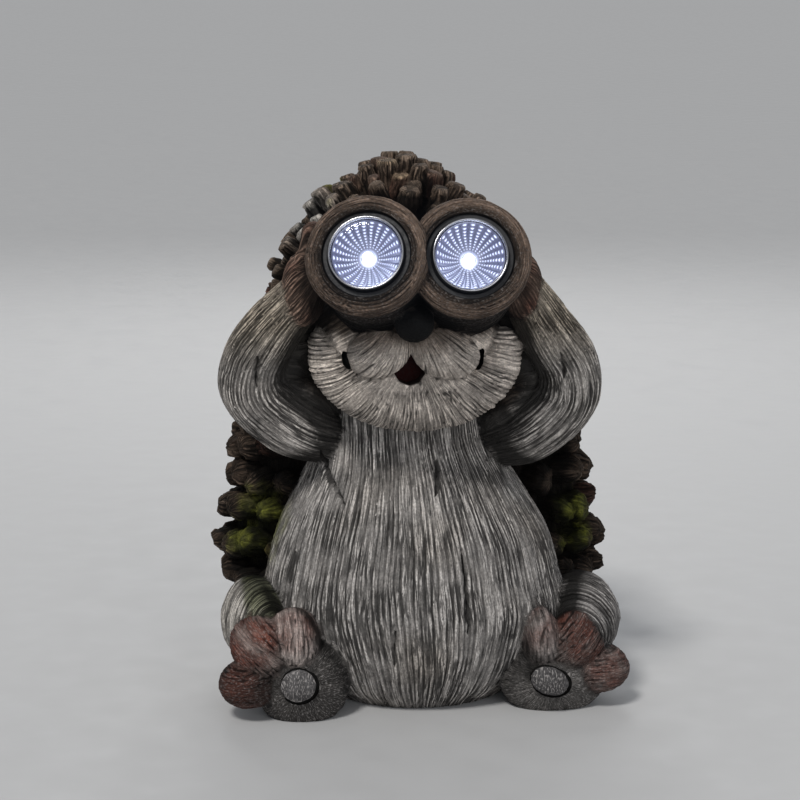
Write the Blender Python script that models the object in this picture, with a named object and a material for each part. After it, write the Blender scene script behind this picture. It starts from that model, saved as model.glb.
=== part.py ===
"""Lighted garden statue: a cast hedgehog that holds up a pair of binoculars with a lamp in each tube.

The figure is drawn in units of its own height, so its pose and carving are shares of it.
The lamps, their bores and the walls round them have sizes of their own, in metres.
Left is the side at -X, which is on the left when the statue faces the viewer.
"""

import math
import random

import bpy
from mathutils import Matrix, Vector

# Driving dimensions, in metres
STATUE_HEIGHT = 0.2516  # to the tip of the highest spine
DRAWN_HEIGHT = 251.6  # the same in figure units
UNIT = STATUE_HEIGHT / DRAWN_HEIGHT
CARVING_GRAIN = 0.0016  # size of the small cells that the joined figure is carved in
CARVING_FACES = 6300  # triangles that the casting keeps before its bores are cut

# Lamps, in metres: each is a black cup in its bore, a chrome ring, a lens, a reflector and an LED
PLAY = 0.0003  # clearance between two pieces that touch
REFLECTOR_RADIUS = 0.0151
REFLECTOR_WALL = 0.0010
REFLECTOR_DEPTH = 0.0070
REFLECTOR_HOLE_RADIUS = 0.0046
REFLECTOR_RIBS = 24
REFLECTOR_CURVE = 1.7  # 1 is a cone, 2 is a parabola
LENS_THICKNESS = 0.0012
LENS_FRONT = 0.0004  # how far the lens stands in front of the tube's rim
RING_WALL = 0.0010
RING_PROUD = 0.0015  # how far the ring stands in front of the tube's rim
RING_GRIP = 0.0030  # length of the ring that sits in the cup
CUP_WALL = 0.0025
CUP_FLOOR = 0.0020
CUP_RECESS = 0.0020  # the cup's lip lies this far inside the tube's rim
LED_RADIUS = 0.0025
LED_LENGTH = 0.0086
LED_FLANGE = 0.0004
LED_FLANGE_HEIGHT = 0.0010
LED_STEPS = 16
LED_TIP_GAP = 0.0040  # the LED's tip lies at least this far behind the lens
TUBE_WALL = 0.0076
TUBE_WEB = 0.0060  # wall between the two bores at the rims
TUBE_LENGTH = 0.048
TUBE_WAIST = 0.88  # the tube's share of its rim's radius further back
ROUND_STEPS = 24
TUBE_STEPS = 48

# What follows from them
RING_RADIUS = REFLECTOR_RADIUS + PLAY + RING_WALL
CUP_RADIUS = RING_RADIUS + PLAY + CUP_WALL
BORE_RADIUS = CUP_RADIUS + PLAY
LENS_BACK = LENS_THICKNESS - LENS_FRONT  # depths here and below count from the tube's rim
REFLECTOR_BACK = LENS_BACK + PLAY + REFLECTOR_DEPTH + REFLECTOR_WALL
CUP_INNER_FLOOR = max(REFLECTOR_BACK, LENS_BACK + LED_TIP_GAP + LED_LENGTH) + PLAY
BORE_DEPTH = CUP_INNER_FLOOR + CUP_FLOOR + PLAY
TUBE_RADIUS = BORE_RADIUS + TUBE_WALL
TUBE_SPACING = 2 * BORE_RADIUS + TUBE_WEB

# The tubes run forward and up from the point between the eyes, in figure units, and they spread:
# each has its turn to the side, in degrees, its side, and how much higher its rim lies
EYES = (-3.7, -40.3, 196.7)
TUBE_RAISE = 24.0
TUBE_TURN = -7.5
TUBES = {
    "left": {"turn": -13.0, "side": -1, "higher": 0.75},
    "right": {"turn": -2.0, "side": 1, "higher": -0.75},
}

# Torso: height, middle x, half width, front y and back y of each level, in figure units
TORSO = (
    (-8, -1, 36, -36, 38),
    (0, -1, 43, -43, 42),
    (9, -1, 54, -51, 46),
    (22, -1, 63, -58, 50),
    (41, -2, 71, -61, 52),
    (57, -3, 69, -60, 52),
    (75, -3, 64, -56, 52),
    (91, -4, 56, -50, 50),
    (107, -5, 47, -43, 48),
    (123, -7, 41, -36, 46),
    (147, -8, 40, -32, 46),
)

# The coat that carries the spines, behind the torso: the same five values
COAT = (
    (4, 0, 42, 0, 42),
    (14, 0, 54, 0, 47),
    (28, 0, 64, 0, 52),
    (44, 0, 78, -4, 55),
    (60, 0, 83, -2, 58),
    (80, -1, 82, 0, 60),
    (98, -1, 79, 0, 60),
    (118, -3, 72, 0, 60),
    (138, -5, 64, -4, 60),
    (160, -7, 58, -8, 60),
)

HEAD_CENTRE = (-8, 9, 182)
HEAD_RADII = (51.5, 50, 57)
HEAD_TAPER = 0.28  # share of its width and depth that the head loses towards its crown
FACE_CENTRE = (-8, -22, 173)
FACE_RADII = (43, 32, 31)
SNOUT_CENTRE = (-9, -44, 183)
SNOUT_RADII = (16, 20, 10)

# The smiling lower jaw is a bent roll: x, y, z and radius along it
JAW = (
    (-45, -31, 169, 8.6),
    (-42, -37, 157, 10.2),
    (-28, -46, 146.5, 10.6),
    (-8, -51, 143, 10.8),
    (14, -46, 145, 10.6),
    (30, -37, 154, 10.2),
    (36, -31, 167, 8.8),
)
LIPS = (((-23.5, -54, 168.5), (14.8, 15.0, 10.8)), ((6.0, -54, 168), (15.8, 15.0, 11.3)))
NOSE_CENTRE = (-9.5, -69, 184)
NOSE_RADII = (8.8, 8.0, 8.6)
LOWER_LIP_CENTRE = (-9, -47, 154)
LOWER_LIP_RADII = (28, 13, 9)

# The open mouth: x and z round it, from between the lips, and the y of its back and front.
# The smile ends in a slit on each side: its centre, radii and turn
MOUTH_OUTLINE = (
    (-9.8, 168.5),
    (-12.6, 164.0),
    (-17.4, 160.0),
    (-14.8, 155.9),
    (-10.5, 154.3),
    (-6.0, 155.7),
    (-2.9, 159.4),
    (-7.2, 163.8),
)
MOUTH_DEPTHS = (-50, -90)
SMILE_ENDS = (
    ((-37.6, -50, 164.5), (2.5, 9.0, 5.0), (0, -22, 0)),
    ((23.0, -44, 163.0), (2.5, 9.0, 5.0), (0, 22, 0)),
)

# Arms: x, y, z and radius from the shoulder round the elbow to the wrist
ARMS = {
    "left": (
        (-38, -7, 122, 13.0),
        (-57, -14, 130, 17.0),
        (-75.5, -19, 146, 17.0),
        (-77, -24, 161, 15.0),
        (-69, -33, 177, 13.5),
        (-58, -42, 192, 11.0),
    ),
    "right": (
        (34, -7, 118, 13.0),
        (50, -14, 126, 17.0),
        (65, -19, 142, 17.0),
        (65, -24, 158, 15.0),
        (55, -33, 174, 13.5),
        (44, -42, 191, 11.0),
    ),
}
# The mass that closes the gap between each bent arm and the head
ARM_FILLS = {
    "left": ((-52, -4, 157), (24, 26, 38)),
    "right": ((39, -4, 154), (24, 26, 38)),
}

# Hands: fingers lie along the tubes, from the palm to the height of each tip
HANDS = {
    "left": {"palm": ((-56, -44, 196), (10, 13, 17)), "fan": (-58, -47), "reach": (198, 210, 221)},
    "right": {"palm": ((41, -43, 196), (10, 13, 16)), "fan": (43, -45), "reach": (198, 209, 218)},
}
FINGER_RADIUS = 5.4
FINGER_LEAN = 3.0  # each finger ends this much further inward than the one before

# Legs: a thigh and a sole, as eggs of a centre and three radii, and a round pad on the sole, with
# its radii across and up and its turn. Toes fan out from the pad: each has a direction in degrees
# from +X, a distance, a half length and a half width
LEGS = {
    "left": {
        "thigh": ((-78, -16, 37), (16, 36, 19)),
        "sole": ((-58, -44, 15), (22, 18, 22)),
        "toes": ((93, 17.0, 15.0, 12.0), (138, 21.0, 15.5, 13.5), (187, 21.5, 14.0, 11.5)),
        "pad": ((-61, -62, 19), (8.6, 8.2), 0),
    },
    "right": {
        "thigh": ((77, -16, 36), (16, 36, 18)),
        "sole": ((58, -40, 12), (25, 17, 18)),
        "toes": ((97, 16.5, 14.5, 9.5), (45, 19.5, 16.0, 13.5), (2, 25.0, 15.0, 11.5)),
        "pad": ((54, -57, 16), (9.6, 7.0), 24),
    },
}
TOE_THICKNESS = 14.5  # half of each toe's size along y
PAD_THICKNESS = 4.5  # half of each pad's size along y
PAD_GROOVE = 1.7  # half the width of the groove round each pad
PAD_STEPS = 20

# Spines: short stumps of twig in rows on the coat, and spread evenly over the head
ROW_LOWEST = 18.6
ROW_PITCH = 15.7
ROW_COUNT = 9
STUMP_PITCH = 14.2
STUMP_RADIUS = 6.6
STUMP_LENGTH = 11.5
COAT_EDGE = 134  # degrees from the middle of the back to the coat's front edge
COAT_EDGE_LOW = 60  # the same at the ground, where the legs are in front
COAT_EDGE_RISE = 50  # height at which the edge has come forward
HEAD_STUMPS = 300
HEAD_STUMPS_LOWEST = 150
HEAD_STUMP_RADIUS = 4.1
HEAD_STUMP_LENGTH = 11.0
STUMP_ROOT = 9.0  # length of each stump that is buried
STUMP_SIDES = 9
# Share of the length and share of the radius, from root to tip: the coat's are rounder
HEAD_STUMP_OUTLINE = ((0.0, 0.86), (0.45, 0.95), (0.75, 1.05), (0.95, 1.0), (1.0, 0.84))
COAT_STUMP_OUTLINE = ((0.0, 0.86), (0.45, 0.98), (0.72, 1.06), (0.9, 0.88), (1.0, 0.5))
HEAD_STUMP_RISE = 0.9  # how much the stumps of the crown turn upright
SEED = 11


def at(x, y, z):
    """A point given in figure units."""
    return Vector((x, y, z)) * UNIT


def clear_scene():
    for obj in list(bpy.data.objects):
        bpy.data.objects.remove(obj, do_unlink=True)


def material(name, colour, roughness, metallic=0.0):
    made = bpy.data.materials.new(name)
    made.use_nodes = True
    shader = made.node_tree.nodes["Principled BSDF"]
    shader.inputs["Base Color"].default_value = (*colour, 1.0)
    shader.inputs["Roughness"].default_value = roughness
    shader.inputs["Metallic"].default_value = metallic
    return made


class Skin:
    """Points and faces of one or more closed shapes."""

    def __init__(self):
        self.points = []
        self.faces = []

    def add_loop(self, loop):
        first = len(self.points)
        self.points.extend(loop)
        return list(range(first, len(self.points)))


def new_object(name, skin, finish=None, frame=None):
    mesh = bpy.data.meshes.new(name)
    mesh.from_pydata(skin.points, [], skin.faces)
    mesh.shade_smooth()
    mesh.set_sharp_from_angle(angle=math.radians(35))
    obj = bpy.data.objects.new(name, mesh)
    bpy.context.scene.collection.objects.link(obj)
    obj.parent = frame
    if finish:
        mesh.materials.append(finish)
    return obj


# Shapes that the figure is joined from


def through(stations, steps):
    """Catmull-Rom curve through rows of numbers, with this many steps between two of them."""
    rows = [Vector(row) for row in stations]
    rows = [2 * rows[0] - rows[1], *rows, 2 * rows[-1] - rows[-2]]
    points = []
    for before, start, end, after in zip(rows, rows[1:], rows[2:], rows[3:]):
        for step in range(steps):
            t = step / steps
            points.append(
                0.5
                * (
                    2 * start
                    + t * (end - before)
                    + t * t * (2 * before - 5 * start + 4 * end - after)
                    + t * t * t * (3 * start - before - 3 * end + after)
                )
            )
    points.append(rows[-2])
    return points


def bridge(skin, rings):
    """Joins rings of points, each turning the same way, into one closed shape with flat ends."""
    loops = [skin.add_loop(ring) for ring in rings]
    count = len(loops[0])
    for lower, upper in zip(loops, loops[1:]):
        for i in range(count):
            j = (i + 1) % count
            skin.faces.append((lower[i], lower[j], upper[j], upper[i]))
    skin.faces.append(loops[0][::-1])
    skin.faces.append(loops[-1])


def ball(skin, place, sides=32, levels=20):
    """A unit ball under the matrix place."""
    rings = []
    for level in range(levels):
        height = -math.cos(math.pi * (level + 0.5) / levels)
        reach = math.sqrt(1 - height * height)
        turns = [math.tau * k / sides for k in range(sides)]
        rings.append([place @ Vector((reach * math.cos(t), reach * math.sin(t), height)) for t in turns])
    bridge(skin, rings)


def egg(skin, centre, radii, turn=(0, 0, 0), sides=32, levels=20):
    """An ellipsoid, with its centre and radii in figure units and its turn in degrees."""
    tilt = Matrix.Rotation(math.radians(turn[2]), 4, "Z")
    tilt = tilt @ Matrix.Rotation(math.radians(turn[1]), 4, "Y")
    tilt = tilt @ Matrix.Rotation(math.radians(turn[0]), 4, "X")
    place = Matrix.Translation(at(*centre)) @ tilt @ Matrix.Diagonal((*at(*radii), 1.0))
    ball(skin, place, sides, levels)


def level_point(level, angle):
    """A point of a torso or coat level. Angle 0 is the middle of the back, and 90 degrees is +X."""
    z, middle, half_width, front, back = level
    y = (front + back) / 2 + (back - front) / 2 * math.cos(angle)
    return Vector((middle + half_width * math.sin(angle), y, z))


def barrel(skin, levels, sides=64):
    """A closed body with an oval section at each level."""
    turns = [-math.tau * i / sides for i in range(sides)]
    bridge(skin, [[level_point(level, t) * UNIT for t in turns] for level in through(levels, 5)])


def limb(skin, stations, sides=28):
    """A round limb through stations of x, y, z and radius, with round ends."""
    line = through(stations, 6)
    rings = []
    side = Vector((0, 0, 1))
    for i, row in enumerate(line):
        here = Vector(row[:3])
        along = Vector(line[min(i + 1, len(line) - 1)][:3]) - Vector(line[max(i - 1, 0)][:3])
        along.normalize()
        side = (side - along * side.dot(along)).normalized()
        other = along.cross(side)
        turns = [math.tau * k / sides for k in range(sides)]
        ring = [here + row[3] * (side * math.cos(t) + other * math.sin(t)) for t in turns]
        rings.append([point * UNIT for point in ring])
    bridge(skin, rings)
    for row in (stations[0], stations[-1]):
        egg(skin, row[:3], (row[3],) * 3)


def stump(skin, root, out, length, radius, outline, chance):
    """A stump of twig that leaves root along out, a little crooked, with a cut end."""
    out = out.normalized()
    side = out.orthogonal().normalized()
    other = out.cross(side)
    lean = side * chance.uniform(-0.12, 0.12) + other * chance.uniform(-0.12, 0.12)
    lobes = [chance.uniform(0.86, 1.12) for _ in range(STUMP_SIDES)]
    rings = []
    for share, girth in outline:
        middle = root - out * STUMP_ROOT + (out + lean * share) * (STUMP_ROOT + length) * share
        ring = []
        for k, lobe in enumerate(lobes):
            t = math.tau * k / STUMP_SIDES
            reach = radius * girth * lobe
            ring.append((middle + reach * (side * math.cos(t) + other * math.sin(t))) * UNIT)
        rings.append(ring)
    bridge(skin, rings)


# The tubes of the binoculars


def facing(turn):
    """Rotation that points +Z along a tube."""
    lift = Matrix.Rotation(math.radians(90.0 - TUBE_RAISE), 4, "X")
    return Matrix.Rotation(math.radians(turn), 4, "Z") @ lift


def look(side):
    """Frame of a tube: +Z runs out of its rim, with the origin at the rim's centre."""
    tube = TUBES[side]
    rim = at(*EYES) + facing(TUBE_TURN) @ Vector((0, 0, TUBE_LENGTH))
    rim += Vector((tube["side"] * TUBE_SPACING / 2, 0, tube["higher"] * UNIT))
    return Matrix.Translation(rim) @ facing(tube["turn"])


def lamp_frame(side):
    """An empty at the tube's rim that carries the lamp's pieces."""
    frame = bpy.data.objects.new(f"{side}_lamp_frame", None)
    frame.matrix_world = look(side)
    bpy.context.scene.collection.objects.link(frame)
    return frame


def turned(skin, outline, sides=ROUND_STEPS, place=Matrix.Identity(4)):
    """Turns a closed outline of (radius, height) about +Z. A radius of 0 lies on the axis."""
    loops = []
    for radius, height in outline:
        turns = [math.tau * i / sides for i in range(sides if radius else 1)]
        ring = [Vector((radius * math.cos(t), radius * math.sin(t), height)) for t in turns]
        loops.append(skin.add_loop([place @ point for point in ring]))
    ends = outline[1:] + outline[:1]
    area = sum(r0 * z1 - r1 * z0 for (r0, z0), (r1, z1) in zip(outline, ends))
    for first, second in zip(loops, loops[1:] + loops[:1]):
        for i in range(sides):
            j = (i + 1) % sides
            corners = [first[i % len(first)], first[j % len(first)]]
            corners += [second[j % len(second)], second[i % len(second)]]
            face = list(dict.fromkeys(corners))
            if len(face) > 2:
                skin.faces.append(face if area > 0 else face[::-1])


def arc(centre, radius, start, end, steps):
    """Points of an arc in (radius, height), between two angles in degrees."""
    turns = [math.radians(start + (end - start) * k / steps) for k in range(steps + 1)]
    return [(centre[0] + radius * math.cos(t), centre[1] + radius * math.sin(t)) for t in turns]


def add_tube(skin, side):
    """A thick tube with a rounded rim, solid here: its bore is cut afterwards."""
    soft = TUBE_WALL * 0.62
    rim = arc((TUBE_RADIUS - soft, -soft), soft, 90, -5, 6)
    waist = TUBE_RADIUS * TUBE_WAIST
    outline = [(0, 0.0), *rim, (waist, -TUBE_LENGTH * 0.40), (waist, -TUBE_LENGTH)]
    turned(skin, [*outline, (0, -TUBE_LENGTH)], TUBE_STEPS, look(side))


# The figure


def add_torso(skin):
    barrel(skin, TORSO)
    barrel(skin, COAT)


def head_point(way):
    """The head's surface in the direction way, in figure units: an egg that narrows to its crown."""
    girth = 1 - HEAD_TAPER * max(way.z, 0) ** 2
    reach = Vector((HEAD_RADII[0] * way.x * girth, HEAD_RADII[1] * way.y * girth, HEAD_RADII[2] * way.z))
    return Vector(HEAD_CENTRE) + reach


def add_head(skin):
    first = len(skin.points)
    ball(skin, Matrix.Identity(4))
    skin.points[first:] = [head_point(way) * UNIT for way in skin.points[first:]]
    egg(skin, FACE_CENTRE, FACE_RADII)
    egg(skin, SNOUT_CENTRE, SNOUT_RADII)
    egg(skin, NOSE_CENTRE, NOSE_RADII)
    egg(skin, LOWER_LIP_CENTRE, LOWER_LIP_RADII)
    limb(skin, JAW)
    for (centre, radii), roll in zip(LIPS, (-14, 14)):
        egg(skin, centre, radii, (0, roll, 0))


def add_arm(skin, side):
    limb(skin, ARMS[side])
    egg(skin, *ARM_FILLS[side])
    hand = HANDS[side]
    egg(skin, *hand["palm"], (-18, 0, 0))
    palm = Vector(hand["palm"][0])
    for finger, height in enumerate(hand["reach"]):
        tip = Vector((*hand["fan"], height))
        tip.x -= TUBES[side]["side"] * FINGER_LEAN * finger
        rows = [(*palm.lerp(tip, share), FINGER_RADIUS) for share in (0.2, 0.6, 1.0)]
        limb(skin, rows, 16)


def add_leg(skin, side):
    leg = LEGS[side]
    for part in ("thigh", "sole"):
        egg(skin, *leg[part])
    pad, (across, up), slant = leg["pad"]
    egg(skin, pad, (across, PAD_THICKNESS, up), (0, slant, 0))
    for direction, distance, half_length, half_width in leg["toes"]:
        turn = math.radians(direction)
        centre = (
            pad[0] + distance * math.cos(turn),
            pad[1] + TOE_THICKNESS,
            pad[2] + distance * math.sin(turn),
        )
        egg(skin, centre, (half_length, TOE_THICKNESS, half_width), (0, -direction, 0))


def add_coat_spines(skin, chance):
    """Rows of stumps round the back, each row set off by half a pitch from the one below."""
    levels = through(COAT, 8)
    for row in range(ROW_COUNT):
        height = ROW_LOWEST + row * ROW_PITCH
        rise = min(height / COAT_EDGE_RISE, 1)
        edge = math.radians(COAT_EDGE_LOW + (COAT_EDGE - COAT_EDGE_LOW) * rise)
        level = min(levels, key=lambda found: abs(found[0] - height))
        girth = (level[2] + (level[4] - level[3]) / 2) / 2
        count = round(2 * edge * girth / STUMP_PITCH)
        for k in range(count + row % 2):
            angle = edge * (2 * (k + 0.5 * (1 - row % 2)) / count - 1)
            angle += chance.uniform(-0.04, 0.04)
            root = level_point(level, angle)
            out = Vector((math.sin(angle), math.cos(angle), chance.uniform(-0.25, 0.2)))
            root.z += chance.uniform(-1.5, 1.5)
            length = STUMP_LENGTH * chance.uniform(0.8, 1.15)
            radius = STUMP_RADIUS * chance.uniform(0.88, 1.12)
            stump(skin, root, out, length, radius, COAT_STUMP_OUTLINE, chance)


def add_head_spines(skin, chance):
    """Stumps at even spacing over the head's dome, behind the face and the hands."""
    golden = math.pi * (3 - math.sqrt(5))
    for k in range(HEAD_STUMPS):
        height = 1 - 2 * (k + 0.5) / HEAD_STUMPS
        ring = math.sqrt(1 - height * height)
        way = Vector((ring * math.cos(golden * k), ring * math.sin(golden * k), height))
        root = head_point(way)
        # the coat's front edge leans back from the brow to the ears
        if root.z < HEAD_STUMPS_LOWEST or root.y < -30 + 0.55 * (237 - root.z):
            continue
        out = way + Vector(chance.uniform(-0.14, 0.14) for _ in range(3))
        out.z += HEAD_STUMP_RISE * max(way.z, 0)
        length = HEAD_STUMP_LENGTH * chance.uniform(0.6, 1.25)
        radius = HEAD_STUMP_RADIUS * chance.uniform(0.8, 1.25)
        stump(skin, root, out, length, radius, HEAD_STUMP_OUTLINE, chance)


def cutter(name, skin, target, frame=None):
    """A hidden tool that is cut out of the target."""
    tool = new_object(name, skin, frame=frame)
    tool.hide_render = True
    tool.display_type = "WIRE"
    cut = target.modifiers.new(name, "BOOLEAN")
    cut.operation = "DIFFERENCE"
    cut.solver = "EXACT"
    cut.object = tool


def cut_bores(target, frames):
    for side, frame in frames.items():
        skin = Skin()
        outline = [(0, TUBE_LENGTH), (BORE_RADIUS, TUBE_LENGTH), (BORE_RADIUS, -BORE_DEPTH)]
        turned(skin, [*outline, (0, -BORE_DEPTH)])
        cutter(f"{side}_bore_cutter", skin, target, frame)


def cut_pad_grooves(target):
    """A round groove about each pad of the soles."""
    for side, leg in LEGS.items():
        pad, (across, up), slant = leg["pad"]
        place = Matrix.Translation(at(*pad)) @ Matrix.Rotation(math.radians(slant), 4, "Y")
        place = place @ Matrix.Rotation(math.pi / 2, 4, "X") @ Matrix.Diagonal((1, up / across, 1, 1))
        skin = Skin()
        turned(skin, arc((across * UNIT, 0), PAD_GROOVE * UNIT, 0, 300, 5), PAD_STEPS, place)
        cutter(f"{side}_pad_cutter", skin, target)


def cut_mouth(target):
    skin = Skin()
    bridge(skin, [[at(x, y, z) for x, z in MOUTH_OUTLINE] for y in MOUTH_DEPTHS])
    for centre, radii, turn in SMILE_ENDS:
        egg(skin, centre, radii, turn, 10, 6)
    cutter("mouth_cutter", skin, target)


def cut_base(target):
    """The underside is flat, where the statue stands."""
    skin = Skin()
    corners = ((-200, -200), (200, -200), (200, 200), (-200, 200))
    bridge(skin, [[at(x, y, z) for x, y in corners] for z in (-100, 0)])
    cutter("base_cutter", skin, target)


def make_casting(finish, frames):
    chance = random.Random(SEED)
    skin = Skin()
    add_torso(skin)
    add_head(skin)
    for side in ("left", "right"):
        add_tube(skin, side)
        add_arm(skin, side)
        add_leg(skin, side)
    add_coat_spines(skin, chance)
    add_head_spines(skin, chance)
    casting = new_object("hedgehog_casting", skin, finish)
    join = casting.modifiers.new("join", "REMESH")
    join.mode = "VOXEL"
    join.voxel_size = CARVING_GRAIN
    join.use_smooth_shade = True
    soften = casting.modifiers.new("soften", "SMOOTH")
    soften.factor = 0.5
    soften.iterations = 3
    carved = casting.evaluated_get(bpy.context.evaluated_depsgraph_get())
    thin = casting.modifiers.new("thin", "DECIMATE")
    thin.ratio = CARVING_FACES / (2 * len(carved.data.polygons))
    thin.use_collapse_triangulate = True
    cut_base(casting)
    cut_bores(casting, frames)
    cut_mouth(casting)
    cut_pad_grooves(casting)
    return casting


# The lamps


def make_cup(side, finish, frame):
    lip = -CUP_RECESS
    inner = RING_RADIUS + PLAY
    floor = -CUP_INNER_FLOOR
    skin = Skin()
    outline = [(0, floor), (inner, floor), (inner, lip), (CUP_RADIUS, lip)]
    outline += [(CUP_RADIUS, floor - CUP_FLOOR), (0, floor - CUP_FLOOR)]
    turned(skin, outline)
    new_object(f"{side}_lamp_cup", skin, finish, frame)


def make_ring(side, finish, frame):
    front = RING_PROUD
    back = -CUP_RECESS - RING_GRIP
    inner = RING_RADIUS - RING_WALL
    soft = RING_WALL * 0.45
    skin = Skin()
    outline = [(inner, front - soft), (inner + soft, front), (RING_RADIUS - soft, front)]
    outline += [(RING_RADIUS, front - soft), (RING_RADIUS, back), (inner, back)]
    turned(skin, outline)
    new_object(f"{side}_chrome_ring", skin, finish, frame)


def make_lens(side, finish, frame):
    skin = Skin()
    outline = [(0, LENS_FRONT), (REFLECTOR_RADIUS, LENS_FRONT)]
    outline += [(REFLECTOR_RADIUS, -LENS_BACK), (0, -LENS_BACK)]
    turned(skin, outline)
    new_object(f"{side}_lens", skin, finish, frame)


def make_reflector(side, finish, frame):
    """A bowl with a hole for the LED, in as many flat sides as it has ribs."""
    front = -LENS_BACK - PLAY
    hollow = []
    spread = REFLECTOR_RADIUS - REFLECTOR_WALL - REFLECTOR_HOLE_RADIUS
    for k in range(5):
        share = k / 4
        radius = REFLECTOR_HOLE_RADIUS + spread * share
        hollow.append((radius, front - REFLECTOR_DEPTH * (1 - share**REFLECTOR_CURVE)))
    back = [(radius + REFLECTOR_WALL, height - REFLECTOR_WALL * 0.4) for radius, height in hollow]
    back[-1] = (REFLECTOR_RADIUS, front)
    skin = Skin()
    turned(skin, [*hollow, *back[::-1]], REFLECTOR_RIBS)
    new_object(f"{side}_reflector", skin, finish, frame)


def make_led(side, finish, frame):
    foot = -CUP_INNER_FLOOR + PLAY
    tip = foot + LED_LENGTH
    flange = LED_RADIUS + LED_FLANGE
    skin = Skin()
    dome = arc((0, tip - LED_RADIUS), LED_RADIUS, 90, 0, 4)
    outline = [(0, tip), *dome[1:], (LED_RADIUS, foot + LED_FLANGE_HEIGHT)]
    outline += [(flange, foot + LED_FLANGE_HEIGHT), (flange, foot), (0, foot)]
    turned(skin, outline, LED_STEPS)
    new_object(f"{side}_led", skin, finish, frame)


def make_lamps(frames):
    black = material("black_plastic", (0.02, 0.02, 0.022), 0.45)
    chrome = material("chrome", (0.80, 0.80, 0.82), 0.12, 1.0)
    clear = material("clear_plastic", (0.85, 0.90, 1.0), 0.05)
    silver = material("silvered_plastic", (0.75, 0.78, 0.90), 0.18, 1.0)
    led = material("led", (0.92, 0.95, 1.0), 0.20)
    for side, frame in frames.items():
        make_cup(side, black, frame)
        make_ring(side, chrome, frame)
        make_lens(side, clear, frame)
        make_reflector(side, silver, frame)
        make_led(side, led, frame)


def main():
    clear_scene()
    frames = {side: lamp_frame(side) for side in TUBES}
    make_casting(material("painted_resin", (0.30, 0.28, 0.26), 0.85), frames)
    make_lamps(frames)


main()
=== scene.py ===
"""Looks of the lighted garden statue: the carved hedgehog in painted resin, and its two lamps.

The figure is joined again from the forms of the CAD casting, in finer cells, and then carved: each
part has a direction of its own that its wood grain follows. Lengths of the figure are in
millimetres, and those of the lamps in metres. Left is the side at -X.
"""

import itertools
import math
import random

import bpy
import numpy as np
from mathutils import Matrix, Vector
from mathutils.bvhtree import BVHTree
from mathutils.kdtree import KDTree


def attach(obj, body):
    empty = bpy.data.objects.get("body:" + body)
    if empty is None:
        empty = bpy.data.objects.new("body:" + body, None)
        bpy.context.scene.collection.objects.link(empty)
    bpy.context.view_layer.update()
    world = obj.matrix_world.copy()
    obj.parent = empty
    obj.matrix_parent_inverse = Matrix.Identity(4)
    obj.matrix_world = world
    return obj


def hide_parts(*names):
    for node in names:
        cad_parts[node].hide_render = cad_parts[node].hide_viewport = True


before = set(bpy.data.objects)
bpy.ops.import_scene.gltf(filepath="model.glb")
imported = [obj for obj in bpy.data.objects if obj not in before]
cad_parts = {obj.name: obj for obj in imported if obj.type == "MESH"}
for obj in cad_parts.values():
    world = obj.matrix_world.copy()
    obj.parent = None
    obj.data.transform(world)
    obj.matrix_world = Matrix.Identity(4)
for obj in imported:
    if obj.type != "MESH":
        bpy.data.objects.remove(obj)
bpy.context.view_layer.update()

MM = 0.001
CELL = 0.62  # size of the cells that the joined figure is carved in
OPEN_RAYS = 32  # rays that each place of the rough copy sends out
OPEN_REACH = 30.0  # and how far they run
OPEN_START = 0.8  # from this far above it
ROUGH_CELL = 2.8  # size of the cells of that rough copy, which shows how open each place is
FACES = 198000  # triangles that the carved figure keeps

# Lamps, in metres
PLAY = 0.0003
REFLECTOR_RADIUS = 0.0151
REFLECTOR_DEPTH = 0.0070
REFLECTOR_HOLE_RADIUS = 0.0046
REFLECTOR_RIBS = 24
REFLECTOR_STEPS = 9
REFLECTOR_CURVE = 1.7
REFLECTOR_GAP = 0.0004  # between the reflector's rim and the radius that it may fill
REFLECTOR_WALL = 0.0006
RIB_POINTS = 10  # points across each rib
STEP_RINGS = 8  # rings of points across each step
RIB_HEIGHT = 0.00042
STEP_HEIGHT = 0.00020
RIB_SWIRL = 0.005  # how far the ribs bend round the LED, as a share of a turn
COLLAR = 0.0016  # width of the flat collar round the LED
LENS_THICKNESS = 0.0012
LENS_FRONT = 0.0004
RING_WALL = 0.0010
RING_PROUD = 0.0015
RING_GRIP = 0.0030
CUP_WALL = 0.0025
CUP_FLOOR = 0.0020
CUP_RECESS = 0.0020
LED_RADIUS = 0.0025
LED_LENGTH = 0.0086
LED_TIP_GAP = 0.0040
TUBE_WALL = 0.0076
TUBE_WEB = 0.0060
TUBE_LENGTH = 0.048
TUBE_WAIST = 0.88
TUBE_NECK = 0.40  # share of the length at which a tube has narrowed to its waist
RIM_SOFTNESS = 0.62  # radius of the rim's edge, as a share of the wall
RING_RADIUS = REFLECTOR_RADIUS + PLAY + RING_WALL
CUP_RADIUS = RING_RADIUS + PLAY + CUP_WALL
BORE_RADIUS = CUP_RADIUS + PLAY
LENS_BACK = LENS_THICKNESS - LENS_FRONT
CUP_INNER_FLOOR = LENS_BACK + LED_TIP_GAP + LED_LENGTH + PLAY
BORE_DEPTH = CUP_INNER_FLOOR + CUP_FLOOR + PLAY
TUBE_RADIUS = BORE_RADIUS + TUBE_WALL
TUBE_SPACING = 2 * BORE_RADIUS + TUBE_WEB

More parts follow.
